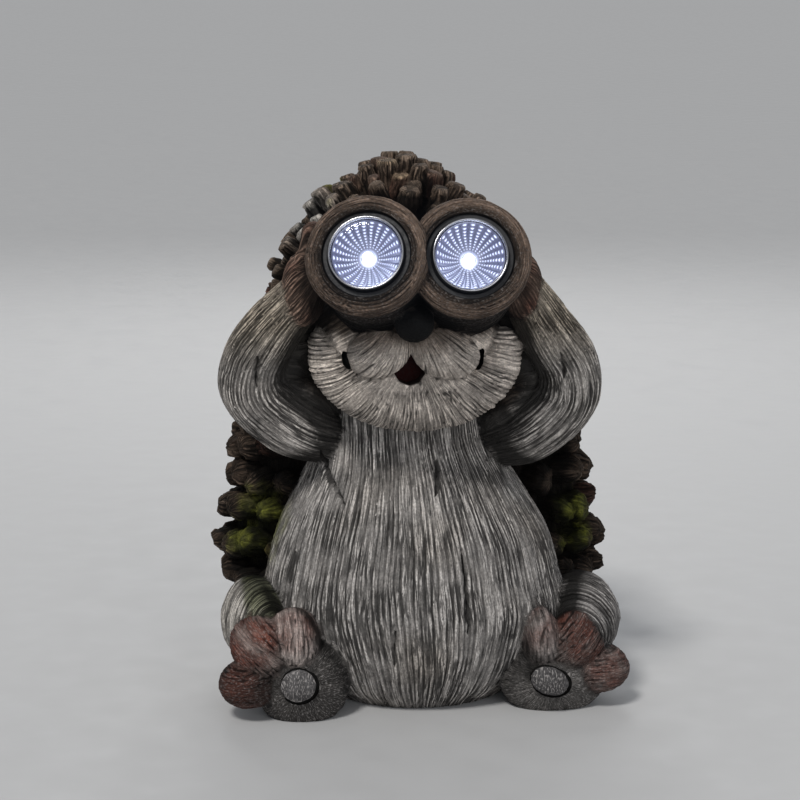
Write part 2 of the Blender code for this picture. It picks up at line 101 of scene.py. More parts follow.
# The figure, in millimetres, as the casting has it
EYES = (-3.7, -40.3, 196.7)
TUBE_RAISE = 24.0
TUBE_TURN = -7.5
TUBES = {
    "left": {"turn": -13.0, "side": -1, "higher": 0.75},
    "right": {"turn": -2.0, "side": 1, "higher": -0.75},
}
TORSO = (
    (-8, -1, 36, -36, 38), (0, -1, 43, -43, 42), (9, -1, 54, -51, 46), (22, -1, 63, -58, 50),
    (41, -2, 71, -61, 52), (57, -3, 69, -60, 52), (75, -3, 64, -56, 52), (91, -4, 56, -50, 50),
    (107, -5, 47, -43, 48), (123, -7, 41, -36, 46), (147, -8, 40, -32, 46),
)
COAT = (
    (4, 0, 42, 0, 42), (14, 0, 54, 0, 47), (28, 0, 64, 0, 52), (44, 0, 78, -4, 55),
    (60, 0, 83, -2, 58), (80, -1, 82, 0, 60), (98, -1, 79, 0, 60), (118, -3, 72, 0, 60),
    (138, -5, 64, -4, 60), (160, -7, 58, -8, 60),
)
HEAD_CENTRE = (-8, 9, 182)
HEAD_RADII = (51.5, 50, 57)
HEAD_TAPER = 0.28
FACE_CENTRE = (-8, -22, 173)
FACE_RADII = (43, 32, 31)
SNOUT_CENTRE = (-9, -44, 183)
SNOUT_RADII = (16, 20, 10)
JAW = (
    (-45, -31, 169, 8.6), (-42, -37, 157, 10.2), (-28, -46, 146.5, 10.6), (-8, -51, 143, 10.8),
    (14, -46, 145, 10.6), (30, -37, 154, 10.2), (36, -31, 167, 8.8),
)
LIPS = (((-23.5, -54, 168.5), (14.8, 15.0, 10.8)), ((6.0, -54, 168), (15.8, 15.0, 11.3)))
NOSE_CENTRE = (-9.5, -69, 184)
NOSE_RADII = (8.8, 8.0, 8.6)
LOWER_LIP_CENTRE = (-9, -47, 154)
LOWER_LIP_RADII = (28, 13, 9)
MOUTH_OUTLINE = (
    (-9.8, 168.5), (-12.6, 164.0), (-17.4, 160.0), (-14.8, 155.9), (-10.5, 154.3), (-6.0, 155.7),
    (-2.9, 159.4), (-7.2, 163.8),
)
MOUTH_DEPTHS = (-50, -90)
SMILE_ENDS = (
    ((-37.6, -50, 164.5), (2.5, 9.0, 5.0), (0, -22, 0)),
    ((23.0, -44, 163.0), (2.5, 9.0, 5.0), (0, 22, 0)),
)
ARMS = {
    "left": (
        (-38, -7, 122, 13.0),
        (-57, -14, 130, 17.0),
        (-75.5, -19, 146, 17.0),
        (-77, -24, 161, 15.0),
        (-69, -33, 177, 13.5),
        (-58, -42, 192, 11.0),
    ),
    "right": (
        (34, -7, 118, 13.0),
        (50, -14, 126, 17.0),
        (65, -19, 142, 17.0),
        (65, -24, 158, 15.0),
        (55, -33, 174, 13.5),
        (44, -42, 191, 11.0),
    ),
}
ARM_FILLS = {
    "left": ((-52, -4, 157), (24, 26, 38)),
    "right": ((39, -4, 154), (24, 26, 38)),
}
HANDS = {
    "left": {"palm": ((-56, -44, 196), (10, 13, 17)), "fan": (-58, -47), "reach": (198, 210, 221)},
    "right": {"palm": ((41, -43, 196), (10, 13, 16)), "fan": (43, -45), "reach": (198, 209, 218)},
}
FINGER_RADIUS = 5.4
FINGER_LEAN = 3.0
LEGS = {
    "left": {
        "thigh": ((-78, -16, 37), (16, 36, 19)),
        "sole": ((-58, -44, 15), (22, 18, 22)),
        "toes": ((93, 17.0, 15.0, 12.0), (138, 21.0, 15.5, 13.5), (187, 21.5, 14.0, 11.5)),
        "pad": ((-61, -62, 19), (8.6, 8.2), 0),
    },
    "right": {
        "thigh": ((77, -16, 36), (16, 36, 18)),
        "sole": ((58, -40, 12), (25, 17, 18)),
        "toes": ((97, 16.5, 14.5, 9.5), (45, 19.5, 16.0, 13.5), (2, 25.0, 15.0, 11.5)),
        "pad": ((54, -57, 16), (9.6, 7.0), 24),
    },
}
TOE_THICKNESS = 14.5
PAD_THICKNESS = 4.5
PAD_GROOVE = 1.7
ROW_LOWEST = 18.6
ROW_PITCH = 15.7
ROW_COUNT = 9
STUMP_PITCH = 14.2
STUMP_RADIUS = 6.6
STUMP_LENGTH = 11.5
COAT_EDGE = 134
COAT_EDGE_LOW = 60
COAT_EDGE_RISE = 50
HEAD_STUMPS = 300
HEAD_STUMPS_LOWEST = 150
HEAD_STUMPS_FRONT = -30  # they start behind this y at HEAD_STUMPS_TOP, and further back below it
HEAD_STUMPS_TOP = 237
HEAD_STUMPS_SLOPE = 0.55
HEAD_STUMP_RADIUS = 4.1
HEAD_STUMP_LENGTH = 11.0
STUMP_ROOT = 9.0
STUMP_SIDES = 9
# Share of the length and share of the radius, from root to tip: the coat's are rounder
HEAD_STUMP_OUTLINE = ((0.0, 0.86), (0.45, 0.95), (0.75, 1.05), (0.95, 1.0), (1.0, 0.84))
COAT_STUMP_OUTLINE = ((0.0, 0.86), (0.45, 0.98), (0.72, 1.06), (0.9, 0.88), (1.0, 0.5))
HEAD_STUMP_RISE = 0.9  # how much the stumps of the crown turn upright
SEED = 11

# Parts of the figure, by the number that marks their faces; a stump's number starts at STUMPS
TORSO_PART, COAT_PART, HEAD_PART, FACE_PART, NOSE_PART, JAW_PART, LIP_PARTS = 0, 1, 2, 3, 4, 5, (6, 7)
SIDES = ("left", "right")
TUBE_PARTS, ARM_PARTS, HAND_PARTS, THIGH_PARTS, SOLE_PARTS = (8, 9), (10, 11), (12, 13), (14, 15), (16, 17)
PAD_PARTS, TOE_PARTS = (18, 19), ((20, 21, 22), (23, 24, 25))
STUMPS = 100
CARVED_FACTS = ("tint", "grain", "groove", "shine", "wash", "hollow", "recess", "opened", "lined")
HEALING_ROUNDS = 4

# Cracks in the front: points of (x, z) along each, its half width and its depth
CRACKS = (
    (((4, 116), (4.5, 108), (3, 101)), 1.0, 2.6),
    (((14, 78), (15.5, 66), (16, 52), (16.5, 40)), 0.9, 2.4),
    (((-47, 118), (-44, 106), (-38, 96)), 1.0, 2.4),
    (((-17, 42), (-17.5, 33), (-17, 25)), 0.9, 2.2),
    (((-77, 165), (-77.5, 158), (-77, 151)), 1.2, 3.0),
    (((52, 41), (50.5, 36), (49.5, 32)), 0.6, 1.2),
    (((60, 165), (62, 158), (62, 152)), 0.7, 1.8),
    (((-60, 72), (-62, 64), (-63, 57)), 0.8, 2.0),
)


# Forms


class Skin:
    """Points and faces of closed shapes, with the part that each face belongs to."""

    def __init__(self):
        self.points = []
        self.faces = []
        self.parts = []
        self.part = 0

    def add_loop(self, loop):
        first = len(self.points)
        self.points.extend(loop)
        return list(range(first, len(self.points)))

    def add_face(self, corners):
        self.faces.append(corners)
        self.parts.append(self.part)


def through(stations, steps):
    """Catmull-Rom curve through rows of numbers, with this many steps between two of them."""
    rows = [Vector(row) for row in stations]
    rows = [2 * rows[0] - rows[1], *rows, 2 * rows[-1] - rows[-2]]
    points = []
    for before, start, end, after in zip(rows, rows[1:], rows[2:], rows[3:]):
        for step in range(steps):
            t = step / steps
            points.append(
                0.5
                * (
                    2 * start
                    + t * (end - before)
                    + t * t * (2 * before - 5 * start + 4 * end - after)
                    + t * t * t * (3 * start - before - 3 * end + after)
                )
            )
    points.append(rows[-2])
    return points


def bridge(skin, rings):
    """Joins rings of points, each turning the same way, into one closed shape with flat ends."""
    loops = [skin.add_loop(ring) for ring in rings]
    count = len(loops[0])
    for lower, upper in zip(loops, loops[1:]):
        for i in range(count):
            j = (i + 1) % count
            skin.add_face((lower[i], lower[j], upper[j], upper[i]))
    skin.add_face(loops[0][::-1])
    skin.add_face(loops[-1])


def ball(skin, place, sides=72, levels=44):
    """A unit ball under the matrix place."""
    rings = []
    for level in range(levels):
        height = -math.cos(math.pi * (level + 0.5) / levels)
        reach = math.sqrt(1 - height * height)
        turns = [math.tau * k / sides for k in range(sides)]
        rings.append([place @ Vector((reach * math.cos(t), reach * math.sin(t), height)) for t in turns])
    bridge(skin, rings)


def egg(skin, centre, radii, turn=(0, 0, 0), sides=72, levels=44):
    """An ellipsoid of a centre, three radii and its turn in degrees."""
    tilt = Matrix.Rotation(math.radians(turn[2]), 4, "Z")
    tilt = tilt @ Matrix.Rotation(math.radians(turn[1]), 4, "Y")
    tilt = tilt @ Matrix.Rotation(math.radians(turn[0]), 4, "X")
    ball(skin, Matrix.Translation(centre) @ tilt @ Matrix.Diagonal((*radii, 1.0)), sides, levels)


def level_point(level, angle):
    """A point of a torso or coat level. Angle 0 is the middle of the back, and 90 degrees is +X."""
    z, middle, half_width, front, back = level
    y = (front + back) / 2 + (back - front) / 2 * math.cos(angle)
    return Vector((middle + half_width * math.sin(angle), y, z))


def barrel(skin, levels, sides=144):
    """A closed body with an oval section at each level."""
    turns = [-math.tau * i / sides for i in range(sides)]
    bridge(skin, [[level_point(level, t) for t in turns] for level in through(levels, 10)])


def limb(skin, stations, sides=56):
    """A round limb through stations of x, y, z and radius, with round ends."""
    line = through(stations, 10)
    rings = []
    side = Vector((0, 0, 1))
    for i, row in enumerate(line):
        along = Vector(line[min(i + 1, len(line) - 1)][:3]) - Vector(line[max(i - 1, 0)][:3])
        along.normalize()
        side = (side - along * side.dot(along)).normalized()
        other = along.cross(side)
        here = Vector(row[:3])
        turns = [math.tau * k / sides for k in range(sides)]
        rings.append([here + row[3] * (side * math.cos(t) + other * math.sin(t)) for t in turns])
    bridge(skin, rings)
    for row in (stations[0], stations[-1]):
        egg(skin, row[:3], (row[3],) * 3)


def stump(skin, found, root, out, length, radius, outline, chance):
    """A stump of twig that leaves root along out, a little crooked, with a cut end."""
    out = out.normalized()
    side = out.orthogonal().normalized()
    other = out.cross(side)
    lean = side * chance.uniform(-0.12, 0.12) + other * chance.uniform(-0.12, 0.12)
    lobes = [chance.uniform(0.86, 1.12) for _ in range(STUMP_SIDES)]
    skin.part = STUMPS + len(found)
    found.append((*root, *out, *side, *other, radius, length, *(out + lean)))
    rings = []
    for share, girth in outline:
        middle = root - out * STUMP_ROOT + (out + lean * share) * (STUMP_ROOT + length) * share
        ring = []
        for k, lobe in enumerate(lobes):
            t = math.tau * k / STUMP_SIDES
            reach = radius * girth * lobe
            ring.append(middle + reach * (side * math.cos(t) + other * math.sin(t)))
        rings.append(ring)
    bridge(skin, rings)


def facing(turn):
    """Rotation that points +Z along a tube."""
    lift = Matrix.Rotation(math.radians(90.0 - TUBE_RAISE), 4, "X")
    return Matrix.Rotation(math.radians(turn), 4, "Z") @ lift


def look(side):
    """Frame of a tube, in metres: +Z runs out of its rim, with the origin at the rim's centre."""
    tube = TUBES[side]
    rim = Vector(EYES) * MM + facing(TUBE_TURN) @ Vector((0, 0, TUBE_LENGTH))
    rim += Vector((tube["side"] * TUBE_SPACING / 2, 0, tube["higher"] * MM))
    return Matrix.Translation(rim) @ facing(tube["turn"])


def turned(skin, outline, sides, place=Matrix.Identity(4), scale=1.0):
    """Turns a closed outline of (radius, height) about +Z. A radius of 0 lies on the axis."""
    loops = []
    for radius, height in outline:
        turns = [math.tau * i / sides for i in range(sides if radius else 1)]
        ring = [Vector((radius * math.cos(t), radius * math.sin(t), height)) for t in turns]
        loops.append(skin.add_loop([place @ point * scale for point in ring]))
    ends = outline[1:] + outline[:1]
    area = sum(r0 * z1 - r1 * z0 for (r0, z0), (r1, z1) in zip(outline, ends))
    for first, second in zip(loops, loops[1:] + loops[:1]):
        for i in range(sides):
            j = (i + 1) % sides
            corners = [first[i % len(first)], first[j % len(first)]]
            corners += [second[j % len(second)], second[i % len(second)]]
            face = list(dict.fromkeys(corners))
            if len(face) > 2:
                skin.add_face(face if area > 0 else face[::-1])


def arc(centre, radius, start, end, steps):
    """Points of an arc in (radius, height), between two angles in degrees."""
    turns = [math.radians(start + (end - start) * k / steps) for k in range(steps + 1)]
    return [(centre[0] + radius * math.cos(t), centre[1] + radius * math.sin(t)) for t in turns]


def head_point(way):
    """The head's surface in the direction way: an egg that narrows to its crown."""
    girth = 1 - HEAD_TAPER * max(way.z, 0) ** 2
    reach = Vector((HEAD_RADII[0] * way.x * girth, HEAD_RADII[1] * way.y * girth, HEAD_RADII[2] * way.z))
    return Vector(HEAD_CENTRE) + reach


def add_head(skin):
    skin.part = HEAD_PART
    first = len(skin.points)
    ball(skin, Matrix.Identity(4))
    skin.points[first:] = [head_point(way) for way in skin.points[first:]]
    skin.part = FACE_PART
    egg(skin, FACE_CENTRE, FACE_RADII)
    egg(skin, SNOUT_CENTRE, SNOUT_RADII)
    skin.part = NOSE_PART
    egg(skin, NOSE_CENTRE, NOSE_RADII)
    skin.part = JAW_PART
    egg(skin, LOWER_LIP_CENTRE, LOWER_LIP_RADII)
    limb(skin, JAW)
    for (centre, radii), roll, part in zip(LIPS, (-14, 14), LIP_PARTS):
        skin.part = part
        egg(skin, centre, radii, (0, roll, 0))


def add_tube(skin, side):
    soft = TUBE_WALL * RIM_SOFTNESS
    rim = arc((TUBE_RADIUS - soft, -soft), soft, 90, -5, 12)
    waist = TUBE_RADIUS * TUBE_WAIST
    outline = [(0, 0.0), *rim, (waist, -TUBE_LENGTH * TUBE_NECK), (waist, -TUBE_LENGTH)]
    turned(skin, [*outline, (0, -TUBE_LENGTH)], 120, look(side), 1 / MM)


def add_arm(skin, side, arm_part, hand_part):
    skin.part = arm_part
    limb(skin, ARMS[side])
    egg(skin, *ARM_FILLS[side])
    hand = HANDS[side]
    skin.part = hand_part
    egg(skin, *hand["palm"], (-18, 0, 0))
    palm = Vector(hand["palm"][0])
    for finger, height in enumerate(hand["reach"]):
        tip = Vector((*hand["fan"], height))
        tip.x -= TUBES[side]["side"] * FINGER_LEAN * finger
        rows = [(*palm.lerp(tip, share), FINGER_RADIUS) for share in (0.2, 0.6, 1.0)]
        limb(skin, rows, 32)


def add_leg(skin, side, thigh_part, sole_part, pad_part, toe_parts):
    leg = LEGS[side]
    for name, part in (("thigh", thigh_part), ("sole", sole_part)):
        skin.part = part
        egg(skin, *leg[name])
    pad, (across, up), slant = leg["pad"]
    skin.part = pad_part
    egg(skin, pad, (across, PAD_THICKNESS, up), (0, slant, 0))
    for (direction, distance, half_length, half_width), part in zip(leg["toes"], toe_parts):
        turn = math.radians(direction)
        centre = (
            pad[0] + distance * math.cos(turn),
            pad[1] + TOE_THICKNESS,
            pad[2] + distance * math.sin(turn),
        )
        skin.part = part
        egg(skin, centre, (half_length, TOE_THICKNESS, half_width), (0, -direction, 0))


def add_coat_spines(skin, found, chance):
    """Rows of stumps round the back, each row set off by half a pitch from the one below."""
    levels = through(COAT, 8)
    for row in range(ROW_COUNT):
        height = ROW_LOWEST + row * ROW_PITCH
        rise = min(height / COAT_EDGE_RISE, 1)
        edge = math.radians(COAT_EDGE_LOW + (COAT_EDGE - COAT_EDGE_LOW) * rise)
        level = min(levels, key=lambda one: abs(one[0] - height))
        girth = (level[2] + (level[4] - level[3]) / 2) / 2
        count = round(2 * edge * girth / STUMP_PITCH)
        for k in range(count + row % 2):
            angle = edge * (2 * (k + 0.5 * (1 - row % 2)) / count - 1)
            angle += chance.uniform(-0.04, 0.04)
            root = level_point(level, angle)
            out = Vector((math.sin(angle), math.cos(angle), chance.uniform(-0.25, 0.2)))
            root.z += chance.uniform(-1.5, 1.5)
            length = STUMP_LENGTH * chance.uniform(0.8, 1.15)
            radius = STUMP_RADIUS * chance.uniform(0.88, 1.12)
            stump(skin, found, root, out, length, radius, COAT_STUMP_OUTLINE, chance)


def add_head_spines(skin, found, chance):
    """Stumps at even spacing over the head's dome, behind the face and the hands."""
    golden = math.pi * (3 - math.sqrt(5))
    for k in range(HEAD_STUMPS):
        height = 1 - 2 * (k + 0.5) / HEAD_STUMPS
        ring = math.sqrt(1 - height * height)
        way = Vector((ring * math.cos(golden * k), ring * math.sin(golden * k), height))
        root = head_point(way)
        front = HEAD_STUMPS_FRONT + HEAD_STUMPS_SLOPE * (HEAD_STUMPS_TOP - root.z)
        if root.z < HEAD_STUMPS_LOWEST or root.y < front:
            continue
        out = way + Vector(chance.uniform(-0.14, 0.14) for _ in range(3))
        out.z += HEAD_STUMP_RISE * max(way.z, 0)
        length = HEAD_STUMP_LENGTH * chance.uniform(0.6, 1.25)
        radius = HEAD_STUMP_RADIUS * chance.uniform(0.8, 1.25)
        stump(skin, found, root, out, length, radius, HEAD_STUMP_OUTLINE, chance)


def figure_skin():
    """The figure's closed shapes, and the frame of every stump."""
    skin, found, chance = Skin(), [], random.Random(SEED)
    skin.part = TORSO_PART
    barrel(skin, TORSO)
    skin.part = COAT_PART
    barrel(skin, COAT)
    add_head(skin)
    for i, side in enumerate(SIDES):
        skin.part = TUBE_PARTS[i]
        add_tube(skin, side)
        add_arm(skin, side, ARM_PARTS[i], HAND_PARTS[i])
        add_leg(skin, side, THIGH_PARTS[i], SOLE_PARTS[i], PAD_PARTS[i], TOE_PARTS[i])
    add_coat_spines(skin, found, chance)
    add_head_spines(skin, found, chance)
    return skin, np.array(found)


# Noise and grain

LATTICE = np.random.default_rng(5).random(65536)
STRIDES = (73856093, 19349663, 83492791)


def noise(seed, *axes):
    """Smooth noise from 0 to 1, one cell per unit of each axis."""
    cells = [np.floor(axis).astype(np.int64) for axis in axes]
    shares = [axis - cell for axis, cell in zip(axes, cells)]
    shares = [t * t * (3 - 2 * t) for t in shares]
    total = 0.0
    for corner in itertools.product((0, 1), repeat=len(axes)):
        key = np.int64(seed * 40503 + 977)
        weight = 1.0
        for bit, cell, share, stride in zip(corner, cells, shares, STRIDES):
            key = key ^ ((cell + bit) * stride)
            weight = weight * (share if bit else 1 - share)
        key = (key ^ (key >> 15)) & 65535
        total = total + weight * LATTICE[key]
    return total


def cloud(seed, points, size):
    """Noise of two octaves through space, from 0 to 1."""
    x, y, z = (points / size).T
    return 0.67 * noise(seed, x, y, z) + 0.33 * noise(seed + 1, 2.1 * x, 2.1 * y, 2.1 * z)


def grooves(seed, across, along, pitch, run, width=0.24):
    """How deep in a groove between two strands each point lies, 0 to 1, and its strand's tone."""
    sway = 1.0 * (noise(seed, across / (5 * pitch), along / run) - 0.5)
    sway = sway + 0.4 * (noise(seed + 1, across / (2 * pitch), along / (0.4 * run)) - 0.5)
    place = across / pitch + sway
    strand = np.floor(place)
    share = place - strand
    line = np.where(share < 0.5, strand, strand + 1)
    edge = np.minimum(share, 1 - share)
    strength = np.clip(2.6 * noise(seed + 2, line * 3.7, along / run) - 0.35, 0, 1)
    reach = width * (0.7 + 0.7 * noise(seed + 3, line * 5.3, along / (0.5 * run)))
    tone = noise(seed + 4, strand * 2.9, along / (1.6 * run))
    return np.exp(-((edge / reach) ** 2)) * strength, tone


# Where each part's grain runs: across counts over the strands, and along runs with them


def barrel_grain(points, levels, width):
    rows = np.array(through(levels, 10))
    x, y, z = points.T
    middle, half_width, front, back = (np.interp(z, rows[:, 0], rows[:, k]) for k in (1, 2, 3, 4))
    angle = np.arctan2((x - middle) / half_width, ((front + back) / 2 - y) / ((back - front) / 2))
    return angle * width, z


def limb_grain(points, stations, width):
    line = np.array(through(stations, 10))[:, :3]
    runs = np.gradient(line, axis=0)
    runs /= np.linalg.norm(runs, axis=1)[:, None]
    sides = []
    side = np.array((0.0, -1.0, 0.0))
    for run in runs:
        side = side - run * side.dot(run)
        side = side / np.linalg.norm(side)
        sides.append(side)
    sides = np.array(sides)
    others = np.cross(runs, sides)
    length = np.concatenate(([0], np.cumsum(np.linalg.norm(np.diff(line, axis=0), axis=1))))
    near = np.argmin(((points[:, None] - line[None]) ** 2).sum(axis=2), axis=1)
    off = points - line[near]
    to_other, to_side = (off * others[near]).sum(axis=1), (off * sides[near]).sum(axis=1)
    angle = np.arctan2(to_other, to_side)
    return angle * width, length[near] + (off * runs[near]).sum(axis=1), np.hypot(to_other, to_side)


def fan_grain(points, x, z, width):
    """Strands that fan out from a point of the front."""
    dx, dz = points[:, 0] - x, points[:, 2] - z
    return np.arctan2(dx, -dz) * width, np.hypot(dx, dz)


def tube_grain(points, side):
    place = np.array(look(side).inverted())
    local = points * MM @ place[:3, :3].T + place[:3, 3]
    radius = np.hypot(local[:, 0], local[:, 1]) / MM
    return radius - local[:, 2] / MM, np.arctan2(local[:, 1], local[:, 0]) * 26, radius, local[:, 2] / MM


def crack_depth(points, normals):
    """Depth of the cracks at each point of the front."""
    depth = np.zeros(len(points))
    facing_front = np.clip(-normals[:, 1] * 3, 0, 1)
    spot = points[:, [0, 2]] + 1.6 * (np.stack((cloud(60, points, 4), cloud(61, points, 4)), axis=1) - 0.5)
    for line, width, deep in CRACKS:
        line = np.array(line, float)
        whole = np.linalg.norm(line[-1] - line[0])
        for a, b in zip(line, line[1:]):
            share = np.clip(((spot - a) @ (b - a)) / ((b - a) @ (b - a)), 0, 1)
            away = np.linalg.norm(spot - a - share[:, None] * (b - a), axis=1)
            taper = np.minimum(
                np.linalg.norm(a + share[:, None] * (b - a) - line[0], axis=1),
                np.linalg.norm(a + share[:, None] * (b - a) - line[-1], axis=1),
            )
            slim = width * (0.35 + 0.65 * np.clip(4 * taper / whole, 0, 1))
            depth = np.maximum(depth, deep * facing_front * np.exp(-((away / slim) ** 2)))
    return depth


# Colours of the paint, and of painted shade and light, as shares of red, green and blue
GREY = (0.335, 0.318, 0.305)
WORN_GREY = (0.30, 0.27, 0.24)
ARM_GREY = (0.400, 0.375, 0.352)
FOREARM_GREY = (0.37, 0.32, 0.26)
WARM_GREY = (0.500, 0.448, 0.402)
# pale paint of the cheeks, made paler still as painted light where the arms and tubes shade them
PALE_CHEEK_AND_LIGHT = (0.760, 0.680, 0.610)
# brown paint with painted shade: the lips darken towards the tubes above them
LIP_BROWN_AND_SHADE = (0.330, 0.268, 0.222)
DUST = (0.40, 0.375, 0.36)
TUBE_BROWN = (0.160, 0.113, 0.086)
# painted shade at the mouth of the bore
BORE_SHADE = (0.028, 0.020, 0.015)
# painted shade under the tubes
UNDER_TUBE_SHADE = (0.016, 0.012, 0.010)
RED_BROWN = (0.108, 0.038, 0.027)
HAND_BROWN = (0.195, 0.132, 0.102)
HAND_TONES = (1.3, 0.7)
BARK = (0.060, 0.042, 0.031)
BARK_LIGHT = (0.170, 0.135, 0.105)
# dark brown of the face under the tubes: brown paint with painted shade
FACE_BROWN_AND_SHADE = (0.160, 0.126, 0.100)
# painted shade inside the bores and the holes at the corners of the mouth
HOLE_SHADE = (0.0035, 0.0035, 0.004)
NOSE_BLACK = (0.0015, 0.0015, 0.0016)
MOUTH_RED = (0.140, 0.014, 0.009)
THIGH_GREYS = ((0.430, 0.405, 0.375), (0.255, 0.243, 0.237))
TOE_GREYS = (
    ((0.390, 0.337, 0.313), (0.200, 0.160, 0.145), (0.026, 0.020, 0.018)),
    ((0.220, 0.195, 0.185), (0.090, 0.070, 0.064), (0.120, 0.100, 0.093)),
)
TOE_REDS = (0.8, 1.2, 0.7)  # how much red-brown each toe has
SOLE_GREYS = ((0.046, 0.043, 0.041), (0.075, 0.071, 0.068))
PAD_GREYS = ((0.074, 0.071, 0.072), (0.056, 0.054, 0.055))
GROOVE_DARK = (0.030, 0.027, 0.025)
CUT_WOOD = (0.300, 0.225, 0.150)
WHITE_BARK = (0.520, 0.490, 0.450)
THIGH_MOSS = (0.060, 0.072, 0.018)
MOSS_GREENS = ((0.140, 0.150, 0.022), (0.055, 0.062, 0.012))
# Patches of moss: middle, size and how much of it grows
MOSS = (
    ((-73, 4, 83), 12, 1.2), ((-79, 6, 69), 12, 1.2), ((76, 4, 82), 10, 1.2), ((77, 6, 68), 10, 1.1),
    ((-46, -22, 234), 7, 1.1), ((27, -22, 233), 6, 1.0), ((-40, 30, 236), 12, 0.8), ((50, 40, 130), 16, 0.8),
    ((-30, 64, 90), 16, 0.8), ((20, 66, 50), 13, 0.8), ((-70, 40, 60), 13, 0.8),
)
CROWN = 190  # height above which the stumps are paler
CHEEK_TOP = 177
ARM_REACH = 18  # what lies further from the arm's middle is in the shade behind it
BARK_PATCH = (-51, 223)  # x and z of the pale bark by the left hand
BARK_PATCH_SPREAD = 110
# Strokes of each part: pitch and run of its strands, depth of the grooves, relief of the strands, a
# groove's share of the pitch, how close the drawn lines lie and how dark they are, and how strongly
# sheltered places are darkened with painted shade
STROKES = {
    "torso": (2.3, 32, 0.95, 0.5, 0.22, 1.0, 1.0, 0.15),
    "bark": (3.0, 14, 0.7, 0.7, 0.24, 1.0, 1.0, 1.0),
    "face": (2.4, 18, 0.6, 0.5, 0.24, 1.0, 1.0, 0.4),
    "jaw": (1.5, 11, 0.26, 0.14, 0.22, 1.4, 0.8, 0.2),
    "lip": (1.8, 12, 0.24, 0.12, 0.2, 1.2, 0.65, 0.15),
    "arm": (2.1, 26, 0.85, 0.45, 0.22, 1.0, 1.0, 1.15),
    "hand": (1.9, 13, 0.5, 0.45, 0.24, 1.0, 1.0, 1.0),
    "thigh": (2.9, 24, 1.0, 0.5, 0.26, 1.0, 1.0, 1.0),
    "sole": (1.9, 9, 0.14, 0.3, 0.2, 1.0, 0.45, 1.0),
    "pad": (4.5, 9, 0.08, 0.3, 0.2, 1.0, 0.2, 1.0),
    "toe": (1.8, 8, 0.22, 0.35, 0.22, 1.0, 0.7, 1.0),
    "tube": (1.75, 28, 0.55, 0.35, 0.22, 1.0, 0.75, 1.0),
    "stump": (2.5, 9, 0.75, 0.6, 0.24, 1.0, 1.0, 1.0),
}


def held(values):
    return np.clip(values, 0, 1)


